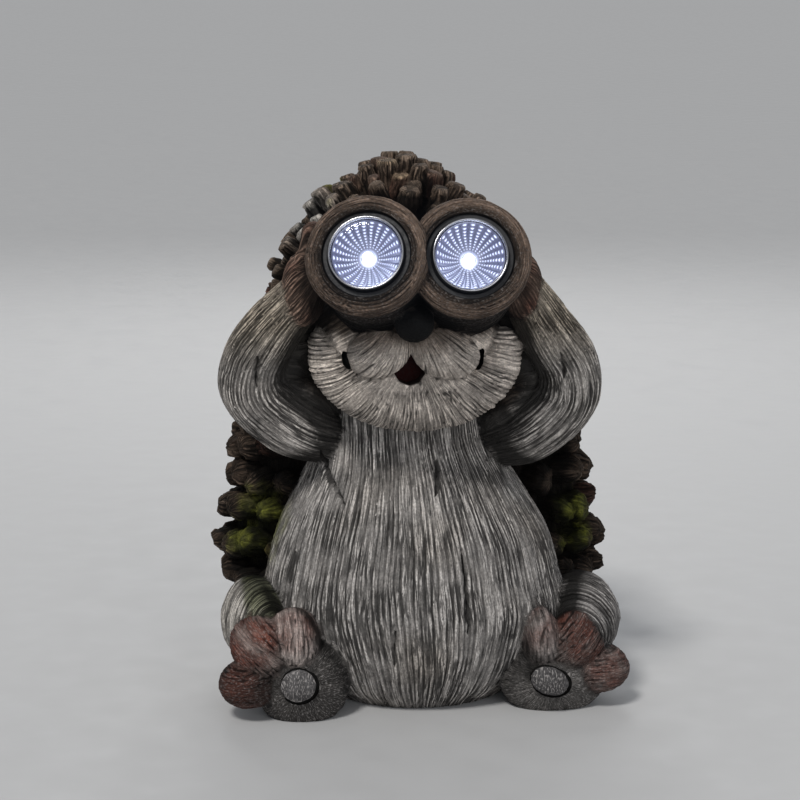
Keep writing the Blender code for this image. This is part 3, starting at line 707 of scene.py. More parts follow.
class Carving:
    """What the tools do at every point of the figure: how far it moves out, and its paint."""

    def __init__(self, points, normals, parts, stumps):
        self.points = points
        self.normals = normals
        self.parts = parts
        self.stumps = stumps
        count = len(points)
        self.out, self.groove, self.shine = (np.zeros(count) for _ in range(3))
        self.wash, self.lined, self.shade_strength = (np.ones(count) for _ in range(3))
        self.tint, self.grain = np.zeros((count, 3)), np.zeros((count, 3))

    def at(self, part):
        chosen = np.flatnonzero(self.parts == part)
        return chosen, self.points[chosen]

    def carve(self, chosen, seed, grain, strokes, colour):
        """Strands with grooves and chips on the chosen points, by a row of STROKES, in a colour."""
        pitch, run, depth, relief, width, fine, lined, shade_strength = STROKES[strokes]
        across, along = grain[0], grain[1]
        cut, tone = grooves(seed, across, along, pitch, run, width)
        chip = noise(seed + 6, across / (1.7 * pitch), along / (0.32 * run))
        chip = held((chip - 0.60) / 0.07)
        lumps = cloud(seed + 9, self.points[chosen], 3.2) - 0.5
        self.out[chosen] = -depth * cut + relief * (tone - 0.5 + 0.7 * lumps - 0.55 * chip)
        self.groove[chosen] = cut * min(1, 0.35 + 0.65 * lined)
        self.lined[chosen] = lined
        self.shade_strength[chosen] = shade_strength
        self.tint[chosen] = np.array(colour) * (0.87 + 0.30 * tone - 0.14 * chip)[:, None]
        self.grain[chosen] = np.column_stack((across * fine, along, np.full(len(chosen), seed)))
        return cut, tone

    def blend(self, chosen, colour, share):
        share = held(share)[:, None]
        self.tint[chosen] = self.tint[chosen] * (1 - share) + np.array(colour) * share

    def body(self):
        chosen, points = self.at(TORSO_PART)
        self.carve(chosen, 20, barrel_grain(points, TORSO, 60), "torso", GREY)
        # painted light: the torso grows paler towards its top, making up for the shade of the arms and head
        # there
        self.tint[chosen] *= (1 + 0.4 * held((points[:, 2] - 85) / 30))[:, None]
        self.blend(chosen, WORN_GREY, 1.6 * cloud(3, points, 26) - 0.7)
        chosen, points = self.at(COAT_PART)
        self.carve(chosen, 30, barrel_grain(points, COAT, 70), "bark", BARK)

    def head(self):
        chosen, points = self.at(HEAD_PART)
        self.carve(chosen, 31, (points[:, 2], points[:, 0]), "bark", BARK)
        chosen, points = self.at(FACE_PART)
        grain = (points[:, 2] + 0.012 * (points[:, 0] + 9) ** 2, points[:, 0])
        # the face takes dark brown paint with painted shade of the tubes above it
        self.carve(chosen, 32, grain, "face", FACE_BROWN_AND_SHADE)
        cheek = held((CHEEK_TOP - points[:, 2] + 6 * (cloud(6, points, 5) - 0.5)) / 7) * (points[:, 1] < -20)
        # the cheeks take their pale paint, with painted light against the shade of the arms and tubes
        self.blend(chosen, PALE_CHEEK_AND_LIGHT, cheek)
        self.shade_strength[chosen] -= 0.35 * cheek
        self.wash[chosen] = 1 - 0.6 * cheek
        chosen, points = self.at(NOSE_PART)
        self.tint[chosen] = NOSE_BLACK
        self.shine[chosen] = 0.5
        self.grain[chosen] = points
        for fact in (self.wash, self.lined, self.shade_strength):
            fact[chosen] = 0

    def muzzle(self):
        chosen, points = self.at(JAW_PART)
        across, along = fan_grain(points, -9, 172, 34)
        edge = held((along - 30) / 12)
        cut, tone = self.carve(chosen, 40, (across, along), "jaw", WARM_GREY)
        self.out[chosen] += edge * (0.6 * (tone - 0.5) - 0.4 * cut)
        # the jaw grows paler towards its top: pale paint with painted light against the shade of the arms
        # and tubes
        self.blend(chosen, PALE_CHEEK_AND_LIGHT, (points[:, 2] - 150) / 12)
        for i, part in enumerate(LIP_PARTS):
            chosen, points = self.at(part)
            self.carve(chosen, 44 + i, fan_grain(points, -9.5, 188, 24), "lip", WARM_GREY)
            # brown paint with painted shade: the lips grow darker towards the tubes above
            high = (points[:, 2] - 169 + 7 * (cloud(7, points, 7) - 0.5)) / 8
            self.blend(chosen, LIP_BROWN_AND_SHADE, high)

    def limbs(self):
        for i, side in enumerate(SIDES):
            chosen, points = self.at(ARM_PARTS[i])
            grain = limb_grain(points, ARMS[side], 16)
            self.carve(chosen, 50 + i, grain, "arm", ARM_GREY)
            self.blend(chosen, FOREARM_GREY, (points[:, 2] - 158) / 22)
            # painted shade: the arm's fill behind its middle takes the dark bark colour
            self.blend(chosen, BARK, (grain[2] - ARM_REACH) / 5)
            chosen, points = self.at(HAND_PARTS[i])
            brown = np.array(HAND_BROWN) * HAND_TONES[i]
            self.carve(chosen, 54 + i, limb_grain(points, ARMS[side], 14), "hand", brown)
            self.blend(chosen, RED_BROWN, 1.1 * cloud(8, points, 9) - 0.42)
            chosen, points = self.at(THIGH_PARTS[i])
            across = TUBES[side]["side"] * (points[:, 0] + 0.3 * points[:, 2]) + 0.9 * points[:, 1]
            self.carve(chosen, 62 + i, (across, points[:, 2]), "thigh", THIGH_GREYS[i])
            if side == "left":
                high = (points[:, 2] - 43) / 9 + 1.5 * (cloud(9, points, 7) - 0.5)
                self.blend(chosen, THIGH_MOSS, np.minimum(high, 0.75) * (points[:, 0] > -84))

    def feet(self):
        for i, leg in enumerate(LEGS.values()):
            pad = leg["pad"][0]
            chosen, points = self.at(SOLE_PARTS[i])
            self.carve(chosen, 66 + i, fan_grain(points, pad[0], pad[2], 20), "sole", SOLE_GREYS[i])
            chosen, points = self.at(PAD_PARTS[i])
            self.carve(chosen, 68 + i, (points[:, 0], points[:, 2]), "pad", PAD_GREYS[i])
            for k, (direction, _, _, _) in enumerate(leg["toes"]):
                turn = math.radians(direction)
                chosen, points = self.at(TOE_PARTS[i][k])
                dx, dz = points[:, 0] - pad[0], points[:, 2] - pad[2]
                across = dz * math.cos(turn) - dx * math.sin(turn)
                along = dx * math.cos(turn) + dz * math.sin(turn)
                seed = 70 + 3 * i + k
                self.carve(chosen, seed, (across, along), "toe", TOE_GREYS[i][k])
                self.out[chosen] += 0.5 * (cloud(seed + 3, points, 1.9) - 0.5)
                speckle = 0.7 * cloud(seed + 4, points, 2.0) + 1.5 * cloud(seed + 5, points, 6.0) - 0.55
                self.blend(chosen, RED_BROWN, held((along - 12) / 9) * TOE_REDS[k] * speckle)

    def tubes(self):
        for i, side in enumerate(SIDES):
            chosen, points = self.at(TUBE_PARTS[i])
            across, along, radius, height = tube_grain(points, side)
            self.carve(chosen, 80 + i, (across, along), "tube", TUBE_BROWN)
            # painted shade: the tube's wood darkens towards the bore
            self.blend(chosen, BORE_SHADE, (23.6 - radius) / 3.0)
            self.tint[chosen] *= (1 - 0.4 * held((224 - points[:, 2]) / 24))[:, None]
            # painted shade on what faces down under each tube, behind its rim
            down = held(0.3 - 2 * self.normals[chosen, 2])
            self.blend(chosen, UNDER_TUBE_SHADE, down * (-height - 7) / 5)

    def spines(self):
        chosen = np.flatnonzero(self.parts >= STUMPS)
        points = self.points[chosen]
        index = self.parts[chosen] - STUMPS
        row = self.stumps[index]
        off = points - row[:, 0:3]
        along = (off * row[:, 3:6]).sum(axis=1)
        off = off - along[:, None] * (row[:, 14:17] - row[:, 3:6]) * 0.9
        s, o = (off * row[:, 6:9]).sum(axis=1), (off * row[:, 9:12]).sum(axis=1)
        radius, length = row[:, 12], row[:, 13]
        reach = np.hypot(s, o)
        own = noise(90, index * 7.7 + 0.5)
        head = points[:, 2] > CROWN
        across = np.arctan2(o, s) * radius + 40 * index
        tone = self.carve(chosen, 91, (across, along), "stump", BARK)[1]
        self.tint[chosen] *= (1 + 1.7 * head)[:, None]
        self.out[chosen] += 1.9 * (cloud(92, points, 4.6) - 0.5) + 0.8 * (cloud(95, points, 1.9) - 0.5)
        self.blend(chosen, BARK_LIGHT, 1.2 * tone * (0.15 + along / 20) - 0.40 + 0.16 * head)
        self.blend(chosen, RED_BROWN, 0.75 * (own > 0.80) * tone)
        end = held((along - length + 2.2) / 1.2) * head
        rings = 0.5 + 0.5 * np.sin(reach * 4.2 + 3 * cloud(93, points, 3))
        self.out[chosen] = self.out[chosen] * (1 - 0.85 * end) - 0.2 * end * rings
        self.groove[chosen] *= 1 - 0.8 * end
        lit = noise(94, index * 5.1 + 0.5) > 0.88
        self.blend(chosen, CUT_WOOD, end * lit * (0.25 + 0.65 * (1 - rings)))
        self.blend(chosen, BARK_LIGHT, 0.35 * end * ~lit)
        away = ((points[:, [0, 2]] - BARK_PATCH) ** 2).sum(axis=1)
        self.blend(chosen, WHITE_BARK, 1.3 * np.exp(-away / BARK_PATCH_SPREAD) * (points[:, 1] < 15))
        self.grain[chosen, 2] = index * 3.7

    def moss(self):
        for i, (middle, size, much) in enumerate(MOSS):
            away = np.linalg.norm((self.points - np.array(middle)) * (1, 0.5, 1), axis=1) / size
            chosen = np.flatnonzero((away < 1.6) & (self.parts != NOSE_PART))
            points = self.points[chosen]
            grown = held(1.7 * (much - away[chosen]) + 1.6 * (cloud(100 + i, points, 4) - 0.45))
            self.out[chosen] += grown * (0.3 + 0.7 * (cloud(120, points, 1.5) - 0.5))
            green = np.where(noise(130, *(points / 2.4).T)[:, None] > 0.5, *MOSS_GREENS)
            self.blend(chosen, green, 0.85 * grown)
            self.wash[chosen] *= 1 - 0.5 * grown

    def cracks(self):
        carved = np.isin(self.parts, (TORSO_PART, *ARM_PARTS, *TOE_PARTS[1], *THIGH_PARTS, COAT_PART))
        chosen = np.flatnonzero(carved)
        depth = crack_depth(self.points[chosen], self.normals[chosen])
        self.out[chosen] -= depth
        self.groove[chosen] = np.maximum(self.groove[chosen], held(depth / 1.2))

    def work(self):
        self.body()
        self.head()
        self.muzzle()
        self.limbs()
        self.feet()
        self.tubes()
        self.spines()
        self.moss()
        self.cracks()


def spread_mean(values, edges, count, rounds):
    """Each point's value averaged with its neighbours', this many times."""
    degree = np.bincount(edges.ravel(), minlength=count).astype(float)
    for _ in range(rounds):
        total = np.empty_like(values)
        for k in range(values.shape[1]):
            column = values[:, k]
            total[:, k] = np.bincount(edges[:, 0], column[edges[:, 1]], count)
            total[:, k] += np.bincount(edges[:, 1], column[edges[:, 0]], count)
        values = 0.5 * values + 0.5 * total / degree[:, None]
    return values


def hollows(points, normals, edges, cell):
    """How hollow (positive) or proud (negative) the surface is, near each point and more widely."""
    near = spread_mean(points, edges, len(points), round(4 / cell))
    wide = spread_mean(near, edges, len(points), round(22 / cell))
    return ((near - points) * normals).sum(axis=1), ((wide - points) * normals).sum(axis=1)


# Meshes


FIELDS = {"FLOAT_COLOR": ("color", 4), "FLOAT_VECTOR": ("vector", 3), "FLOAT": ("value", 1)}


def vectors(source, name, width):
    found = np.empty(len(source) * width)
    source.foreach_get(name, found)
    return found.reshape(-1, width)


def edge_pairs(mesh):
    pairs = np.empty(len(mesh.edges) * 2, np.int32)
    mesh.edges.foreach_get("vertices", pairs)
    return pairs.reshape(-1, 2)


def add_layer(mesh, name, kind, values):
    """A fact of every point of the mesh, under a name."""
    layer = mesh.attributes.new(name, kind, "POINT")
    layer.data.foreach_set(FIELDS[kind][0], np.asarray(values).astype(np.float32).ravel())


def add_object(name, data):
    obj = bpy.data.objects.new(name, data)
    bpy.context.scene.collection.objects.link(obj)
    return obj


def new_object(name, skin, finish=None):
    mesh = bpy.data.meshes.new(name)
    mesh.from_pydata(skin.points, [], skin.faces)
    if finish:
        mesh.materials.append(finish)
    return add_object(name, mesh)


def settled(obj):
    """The object's mesh with its modifiers applied."""
    graph = bpy.context.evaluated_depsgraph_get()
    graph.update()
    return bpy.data.meshes.new_from_object(obj.evaluated_get(graph), depsgraph=graph)


def joined(skin, cell):
    """One closed mesh round all the shapes of a skin, in cells of this size."""
    obj = new_object("joined", skin)
    join = obj.modifiers.new("join", "REMESH")
    join.mode = "VOXEL"
    join.voxel_size = cell
    soften = obj.modifiers.new("soften", "SMOOTH")
    soften.factor = 0.5
    soften.iterations = 3
    mesh = settled(obj)
    old = obj.data
    bpy.data.objects.remove(obj)
    bpy.data.meshes.remove(old)
    return mesh


def nearest_parts(skin, points):
    """The part that lies nearest to each point."""
    tree = BVHTree.FromPolygons(skin.points, skin.faces)
    near = [tree.find_nearest(point)[2] for point in points]
    return np.array(skin.parts)[np.array(near)]


def hemisphere(count):
    """Directions about +Z, closer together towards it."""
    golden = math.pi * (3 - math.sqrt(5))
    found = []
    for k in range(count):
        reach, turn = math.sqrt((k + 0.5) / count), golden * k
        found.append((reach * math.cos(turn), reach * math.sin(turn), math.sqrt(1 - reach * reach)))
    return found


def openness(skin, points):
    """How open the figure is round each point, from 0 to 1, by rays from a rough copy of it."""
    rough = joined(skin, ROUGH_CELL)
    corners = [vertex.co.copy() for vertex in rough.vertices]
    tree = BVHTree.FromPolygons(corners, [tuple(face.vertices) for face in rough.polygons])
    finder = KDTree(len(corners))
    shares = []
    rays = [Vector(way) for way in hemisphere(OPEN_RAYS)]
    for k, vertex in enumerate(rough.vertices):
        finder.insert(corners[k], k)
        turn = vertex.normal.to_track_quat("Z", "Y")
        start = corners[k] + vertex.normal * OPEN_START
        free = sum(tree.ray_cast(start, turn @ ray, OPEN_REACH)[0] is None for ray in rays)
        shares.append(free / OPEN_RAYS)
    finder.balance()
    bpy.data.meshes.remove(rough)
    found = []
    for point in points:
        near = finder.find_n(point, 3)
        weights = [1 / (away + 0.3) for _, _, away in near]
        found.append(sum(w * shares[k] for w, (_, k, _) in zip(weights, near)) / sum(weights))
    return np.array(found)


def carved_mesh():
    """The joined figure, carved and painted, in metres."""
    skin, stumps = figure_skin()
    mesh = joined(skin, CELL)
    places = [vertex.co.copy() for vertex in mesh.vertices]
    parts = nearest_parts(skin, places)
    opened = openness(skin, places)
    points = vectors(mesh.vertices, "co", 3)
    normals = vectors(mesh.vertex_normals, "vector", 3)
    work = Carving(points, normals, parts, stumps)
    work.work()
    points = points + normals * work.out[:, None]
    hollow, recess = hollows(points, normals, edge_pairs(mesh), CELL)
    mesh.vertices.foreach_set("co", (points * MM).ravel())
    mesh.update()
    add_layer(mesh, "tint", "FLOAT_COLOR", np.column_stack((work.tint, np.ones(len(points)))))
    add_layer(mesh, "grain", "FLOAT_VECTOR", work.grain)
    for name in ("groove", "shine", "wash", "lined"):
        add_layer(mesh, name, "FLOAT", getattr(work, name))
    add_layer(mesh, "hollow", "FLOAT", hollow)
    add_layer(mesh, "recess", "FLOAT", recess)
    # openness, which the paint turns into painted shade; a part of weak shade strength counts as more open
    add_layer(mesh, "opened", "FLOAT", 1 - work.shade_strength * (1 - opened))
    return mesh


def cutter(name, skin, colour):
    """A hidden tool. Where it cuts, the figure takes its colour."""
    obj = new_object(name, skin)
    obj.hide_render = True
    obj.display_type = "WIRE"
    add_layer(obj.data, "tint", "FLOAT_COLOR", np.tile((*colour, 1.0), len(skin.points)))
    return obj


def cutters():
    """What is cut out of the figure: both bores, the mouth, the grooves of the pads and the base."""
    tools = []
    for side in SIDES:
        skin = Skin()
        outline = [(0, TUBE_LENGTH), (BORE_RADIUS, TUBE_LENGTH)]
        turned(skin, [*outline, (BORE_RADIUS, -BORE_DEPTH), (0, -BORE_DEPTH)], 96, look(side))
        # painted shade on the bore's wall
        tools.append(cutter(f"{side}_bore_cutter", skin, HOLE_SHADE))
    skin = Skin()
    outline = [Vector(point) for point in MOUTH_OUTLINE]
    soft = [outline[0]]
    for before, here, after in zip(outline, outline[1:], outline[2:] + outline[:1]):
        soft += [here.lerp(before, 0.3), here.lerp(before, 0.1)]
        soft += [here.lerp(after, 0.1), here.lerp(after, 0.3)]
    bridge(skin, [[Vector((x, y, z)) * MM for x, z in soft] for y in MOUTH_DEPTHS])
    tools.append(cutter("mouth_cutter", skin, MOUTH_RED))
    skin = Skin()
    for centre, radii, turn in SMILE_ENDS:
        egg(skin, Vector(centre) * MM, Vector(radii) * MM, turn, 32, 20)
    # painted shade in the holes at the corners of the mouth
    tools.append(cutter("smile_cutter", skin, HOLE_SHADE))
    for side, leg in LEGS.items():
        pad, (across, up), slant = leg["pad"]
        place = Matrix.Translation(Vector(pad) * MM) @ Matrix.Rotation(math.radians(slant), 4, "Y")
        place = place @ Matrix.Rotation(math.pi / 2, 4, "X") @ Matrix.Diagonal((1, up / across, 1, 1))
        skin = Skin()
        turned(skin, arc((across * MM, 0), PAD_GROOVE * MM, 0, 345, 23), 72, place)
        tools.append(cutter(f"{side}_pad_cutter", skin, GROOVE_DARK))
    skin = Skin()
    corners = ((-200, -200), (200, -200), (200, 200), (-200, 200))
    bridge(skin, [[Vector((x, y, z)) * MM for x, y in corners] for z in (-100, 0)])
    tools.append(cutter("base_cutter", skin, BARK_LIGHT))
    return tools


def heal_edges(mesh):
    """Points that the tools made on their outlines take their neighbours' mean paint and facts."""
    edges = edge_pairs(mesh)
    edges = np.concatenate((edges, edges[:, ::-1]))
    count = len(mesh.vertices)
    new = (vectors(mesh.attributes["tint"].data, "color", 4)[:, :3] > 0.99).all(axis=1)
    known = ~(vectors(mesh.attributes["grain"].data, "vector", 3) == 0).all(axis=1)
    layers = [layer for layer in mesh.attributes if layer.name in CARVED_FACTS]
    facts = [vectors(layer.data, *FIELDS[layer.data_type]) for layer in layers]
    for _ in range(HEALING_ROUNDS):
        both = edges[known[edges[:, 1]]]
        total = np.bincount(both[:, 0], minlength=count)
        ready = new & ~known & (total > 0)
        for values in facts:
            for k in range(values.shape[1]):
                mean = np.bincount(both[:, 0], values[both[:, 1], k], count) / np.maximum(total, 1)
                values[ready, k] = mean[ready]
        known = known | ready
    for layer, values in zip(layers, facts):
        layer.data.foreach_set(FIELDS[layer.data_type][0], values.astype(np.float32).ravel())


def make_figure(finish):
    obj = add_object("carved_hedgehog", carved_mesh())
    obj.data.materials.clear()
    obj.data.materials.append(finish)
    faces = 2 * len(obj.data.polygons)
    if faces > FACES:
        thin = obj.modifiers.new("thin", "DECIMATE")
        thin.ratio = FACES / faces
        thin.use_collapse_triangulate = True
    tools = cutters()
    for tool in tools:
        cut = obj.modifiers.new(tool.name, "BOOLEAN")
        cut.operation = "DIFFERENCE"
        cut.solver = "MANIFOLD"
        cut.object = tool
    mesh = settled(obj)
    obj.modifiers.clear()
    old = obj.data
    obj.data = mesh
    bpy.data.meshes.remove(old)
    for tool in tools:
        bpy.data.objects.remove(tool)
    heal_edges(mesh)
    mesh.shade_smooth()
    mesh.set_sharp_from_angle(angle=math.radians(72))
    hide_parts("hedgehog_casting")
    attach(obj, "root")


# Materials


class Finish:
    """A procedural material that is built up node by node."""

    def __init__(self, name):
        self.made = bpy.data.materials.new(name)
        self.made.use_nodes = True
        self.tree = self.made.node_tree
        self.shader = self.tree.nodes["Principled BSDF"]

    def link(self, source, target):
        self.tree.links.new(source, target)

    def node(self, kind, **values):
        made = self.tree.nodes.new(kind)
        for name, value in values.items():
            setattr(made, name, value)
        return made

    def attribute(self, name, output="Fac"):
        return self.node("ShaderNodeAttribute", attribute_name=name).outputs[output]

    def math(self, operation, first, second=None, clamp=False):
        made = self.node("ShaderNodeMath", operation=operation, use_clamp=clamp)
        for socket, value in zip(made.inputs, (first, second)):
            if isinstance(value, (int, float)):
                socket.default_value = value
            elif value is not None:
                self.link(value, socket)
        return made.outputs[0]

    def times(self, first, second):
        return self.math("MULTIPLY", first, second)

    def plus(self, first, second):
        return self.math("ADD", first, second)

    def most(self, first, second):
        return self.math("MAXIMUM", first, second)

    def less(self, first, second):
        return self.math("SUBTRACT", first, second)

    def steps(self, value, low, high, start=0.0, end=1.0):
        """The value from low to high, taken to start to end and held there."""
        made = self.node("ShaderNodeMapRange", clamp=True)
        self.link(value, made.inputs["Value"])
        for name, number in zip(("From Min", "From Max", "To Min", "To Max"), (low, high, start, end)):
            made.inputs[name].default_value = number
        return made.outputs[0]

    def noise(self, place, scale, detail=3.0, stretch=None):
        if stretch:
            scaled = self.node("ShaderNodeVectorMath", operation="MULTIPLY")
            self.link(place, scaled.inputs[0])
            scaled.inputs[1].default_value = stretch
            place = scaled.outputs[0]
        made = self.node("ShaderNodeTexNoise")
        made.inputs["Scale"].default_value = scale
        made.inputs["Detail"].default_value = detail
        self.link(place, made.inputs["Vector"])
        return made.outputs["Fac"]

    def mix(self, share, first, second, kind="MIX"):
        made = self.node("ShaderNodeMix", data_type="RGBA", blend_type=kind)
        made.clamp_factor = True
        for name, value in (("Factor_Float", share), ("A_Color", first), ("B_Color", second)):
            socket = next(s for s in made.inputs if s.identifier == name)
            if isinstance(value, tuple):
                socket.default_value = (*value, 1.0)
            elif isinstance(value, (int, float)):
                socket.default_value = value
            else:
                self.link(value, socket)
        return next(s for s in made.outputs if s.identifier == "Result_Color")

    def ridge(self, value, narrow, wide):
        """1 where the value passes through its middle, 0.5, and 0 away from there."""
        away = self.math("ABSOLUTE", self.less(value, 0.5))
        return self.steps(away, narrow, wide, 1.0, 0.0)

    def scaled(self, colour, share):
        return self.mix(1.0, colour, (share, share, share), "MULTIPLY")

    def bump(self, height, distance, strength=1.0):
        made = self.node("ShaderNodeBump")
        made.inputs["Distance"].default_value = distance
        made.inputs["Strength"].default_value = strength
        self.link(height, made.inputs["Height"])
        self.link(made.outputs[0], self.shader.inputs["Normal"])

    def place(self):
        return self.node("ShaderNodeTexCoord").outputs["Object"]


def resin_finish():
    """Painted resin: pale paint on the strands, dark paint in grooves and drawn lines, and dark paint with
    painted shade in hollows and recesses.
    """
    f = Finish("painted_resin")
    place, grain = f.place(), f.attribute("grain", "Vector")
    tint, groove = f.attribute("tint", "Color"), f.attribute("groove")
    hollow, recess, wash = f.attribute("hollow"), f.attribute("recess"), f.attribute("wash")
    opened, lined, shine = f.attribute("opened"), f.attribute("lined"), f.attribute("shine")
    strands = f.noise(grain, 1.0, 2.0, (0.40, 0.028, 1.0))
    threads = f.noise(grain, 1.0, 2.5, (0.90, 0.055, 1.0))
    chips = f.noise(grain, 1.0, 5.0, (0.95, 0.26, 1.0))
    scratches = f.noise(grain, 1.0, 3.0, (1.9, 0.65, 1.0))
    grit = f.noise(place, 950.0, 3.0)
    patch = f.noise(place, 60.0, 3.0)
    # pale paint on what stands proud, worn, speckled and scratched
    brushed = f.times(f.steps(hollow, 0.02, -0.24), f.steps(f.plus(grit, patch), 0.75, 1.25))
    colour = f.mix(f.times(brushed, 0.60), f.scaled(tint, 1.28), f.scaled(tint, 1.95))
    for value, low, high, dark, light in (
        (chips, 0.36, 0.64, (0.78, 0.77, 0.76), (1.18, 1.18, 1.17)),
        (grit, 0.3, 0.7, (0.72, 0.72, 0.72), (1.28, 1.27, 1.26)),
    ):
        colour = f.mix(1.0, colour, f.mix(f.steps(value, low, high), dark, light), "MULTIPLY")
    dusty = f.times(f.less(1.0, lined), wash)
    colour = f.mix(f.times(dusty, f.steps(scratches, 0.54, 0.60, 0.0, 0.90)), colour, DUST)
    # dark paint in grooves, drawn lines and chips, and in hollows and recesses dark paint with painted shade
    firm = f.times(lined, f.steps(patch, 0.36, 0.58, 0.60, 1.0))
    lines = f.most(f.ridge(strands, 0.024, 0.062), f.times(f.ridge(threads, 0.018, 0.058), 0.8))
    lines = f.times(f.most(lines, f.steps(chips, 0.64, 0.67, 0.0, 0.90)), firm)
    covered = f.steps(f.plus(patch, f.times(chips, 0.5)), 0.58, 0.78, 0.65, 1.0)
    dark_paint_and_shade = f.most(f.times(f.steps(groove, 0.24, 0.56), covered), lines)
    dark_paint_and_shade = f.most(f.most(dark_paint_and_shade, f.steps(hollow, 0.12, 0.45)), f.steps(recess, 0.9, 3.0))
    dark_paint_and_shade = f.math("MULTIPLY", dark_paint_and_shade, wash, True)
    colour = f.mix(f.times(dark_paint_and_shade, 0.95), colour, f.scaled(tint, 0.085))
    # painted shade: what lies deep and closed in is darkest
    deep = f.steps(f.plus(opened, f.times(chips, 0.14)), 1.0, 0.79, 0.0, 0.95)
    colour = f.mix(deep, colour, f.scaled(tint, 0.055))
    f.link(colour, f.shader.inputs["Base Color"])
    rough = f.less(f.steps(grit, 0.3, 0.7, 0.66, 0.90), f.times(shine, 0.30))
    f.link(rough, f.shader.inputs["Roughness"])
    f.shader.inputs["Specular IOR Level"].default_value = 0.14
    height = f.plus(f.times(lines, -0.9), f.times(grit, 0.45))
    height = f.plus(height, f.times(f.steps(chips, 0.45, 0.55), 0.25))
    f.bump(f.times(height, f.less(1.0, shine)), 0.0009, 0.8)
    return f.made


def plain_finish(name, colour, roughness, metallic=0.0, grain=900.0, depth=0.00005, spread=0.12):
    """A moulded or plated finish: slight changes of tone and roughness over a fine grain."""
    f = Finish(name)
    rough = f.noise(f.place(), grain, 2.0)
    soft = f.noise(f.place(), grain / 12, 2.0)
    low, high = (tuple(c * s for c in colour) for s in (1 - spread, 1 + spread))
    f.link(f.mix(soft, low, high), f.shader.inputs["Base Color"])
    f.link(f.steps(rough, 0.3, 0.7, roughness * 0.8, roughness * 1.2), f.shader.inputs["Roughness"])
    f.shader.inputs["Metallic"].default_value = metallic
    f.bump(rough, depth, 0.6)
    return f


def reflector_finish():
    """Silvered ribs with a painted glow of the LED's light: each step's crest glows brightest, and the
    valleys glow bluish.
    """
    f = plain_finish("silvered_plastic", (0.24, 0.25, 0.31), 0.32, 1.0, 1400.0, 0.00002, 0.05)
    crest = f.attribute("crest")
    glow = f.mix(crest, (0.26, 0.29, 0.62), (0.84, 0.91, 1.0))
    f.link(glow, f.shader.inputs["Emission Color"])
    f.link(f.steps(crest, 0.0, 1.0, 0.17, 1.7), f.shader.inputs["Emission Strength"])
    return f.made


def led_finish():
    f = plain_finish("led_plastic", (0.92, 0.95, 1.0), 0.2)
    f.shader.inputs["Emission Color"].default_value = (0.86, 0.92, 1.0, 1.0)
    f.shader.inputs["Emission Strength"].default_value = 5.0
    return f.made


def lens_finish():
    f = plain_finish("clear_plastic", (0.97, 0.98, 1.0), 0.035, 0.0, 500.0, 0.00001, 0.01)
    f.shader.inputs["Transmission Weight"].default_value = 1.0
    f.shader.inputs["IOR"].default_value = 1.2
    return f.made


# Lamps


def lamp_piece(what, side, skin, finish, sharp=40):
    node = f"{side}_{what}"
    obj = new_object(f"{node}_detail", skin, finish)
    obj.data.transform(look(side))
    obj.data.shade_smooth()
    obj.data.set_sharp_from_angle(angle=math.radians(sharp))
    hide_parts(node)
    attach(obj, "root")
    return obj


def turned_piece(what, side, outline, sides, finish):
    skin = Skin()
    turned(skin, outline, sides)
    lamp_piece(what, side, skin, finish)


def cup_outline():
    inner = RING_RADIUS + PLAY
    floor = -CUP_INNER_FLOOR
    soft = 0.0005
    outline = [(0, floor), (inner, floor), (inner, -CUP_RECESS - soft), (inner + soft, -CUP_RECESS)]
    outline += [(CUP_RADIUS - soft, -CUP_RECESS), (CUP_RADIUS, -CUP_RECESS - soft)]
    return [*outline, (CUP_RADIUS, floor - CUP_FLOOR), (0, floor - CUP_FLOOR)]


def ring_outline():
    front, back = RING_PROUD, -CUP_RECESS - RING_GRIP
    inner = RING_RADIUS - RING_WALL
    soft = RING_WALL * 0.45
    outline = arc((inner + soft, front - soft), soft, 180, 90, 5)
    outline += arc((RING_RADIUS - soft, front - soft), soft, 90, 0, 5)
    outline += [(RING_RADIUS, back), (inner, back)]
    return outline[::-1]


def lens_outline():
    """A clear disc with a slightly domed front and a soft edge."""
    edge = 0.0003
    front = [(REFLECTOR_RADIUS * s, LENS_FRONT + 0.0003 * (1 - s * s)) for s in (0, 0.25, 0.5, 0.75, 0.93)]
    side = [(REFLECTOR_RADIUS, LENS_FRONT - edge), (REFLECTOR_RADIUS, -LENS_BACK)]
    return [*front, *side, (0, -LENS_BACK)]


def led_outline():
    foot = -CUP_INNER_FLOOR + PLAY
    tip, flange = foot + LED_LENGTH, LED_RADIUS + 0.0004
    dome = arc((0, tip - LED_RADIUS), LED_RADIUS, 90, 0, 14)
    outline = [(0, tip), *dome[1:], (LED_RADIUS, foot + 0.0010), (flange, foot + 0.0010)]
    return [*outline, (flange, foot), (0, foot)]


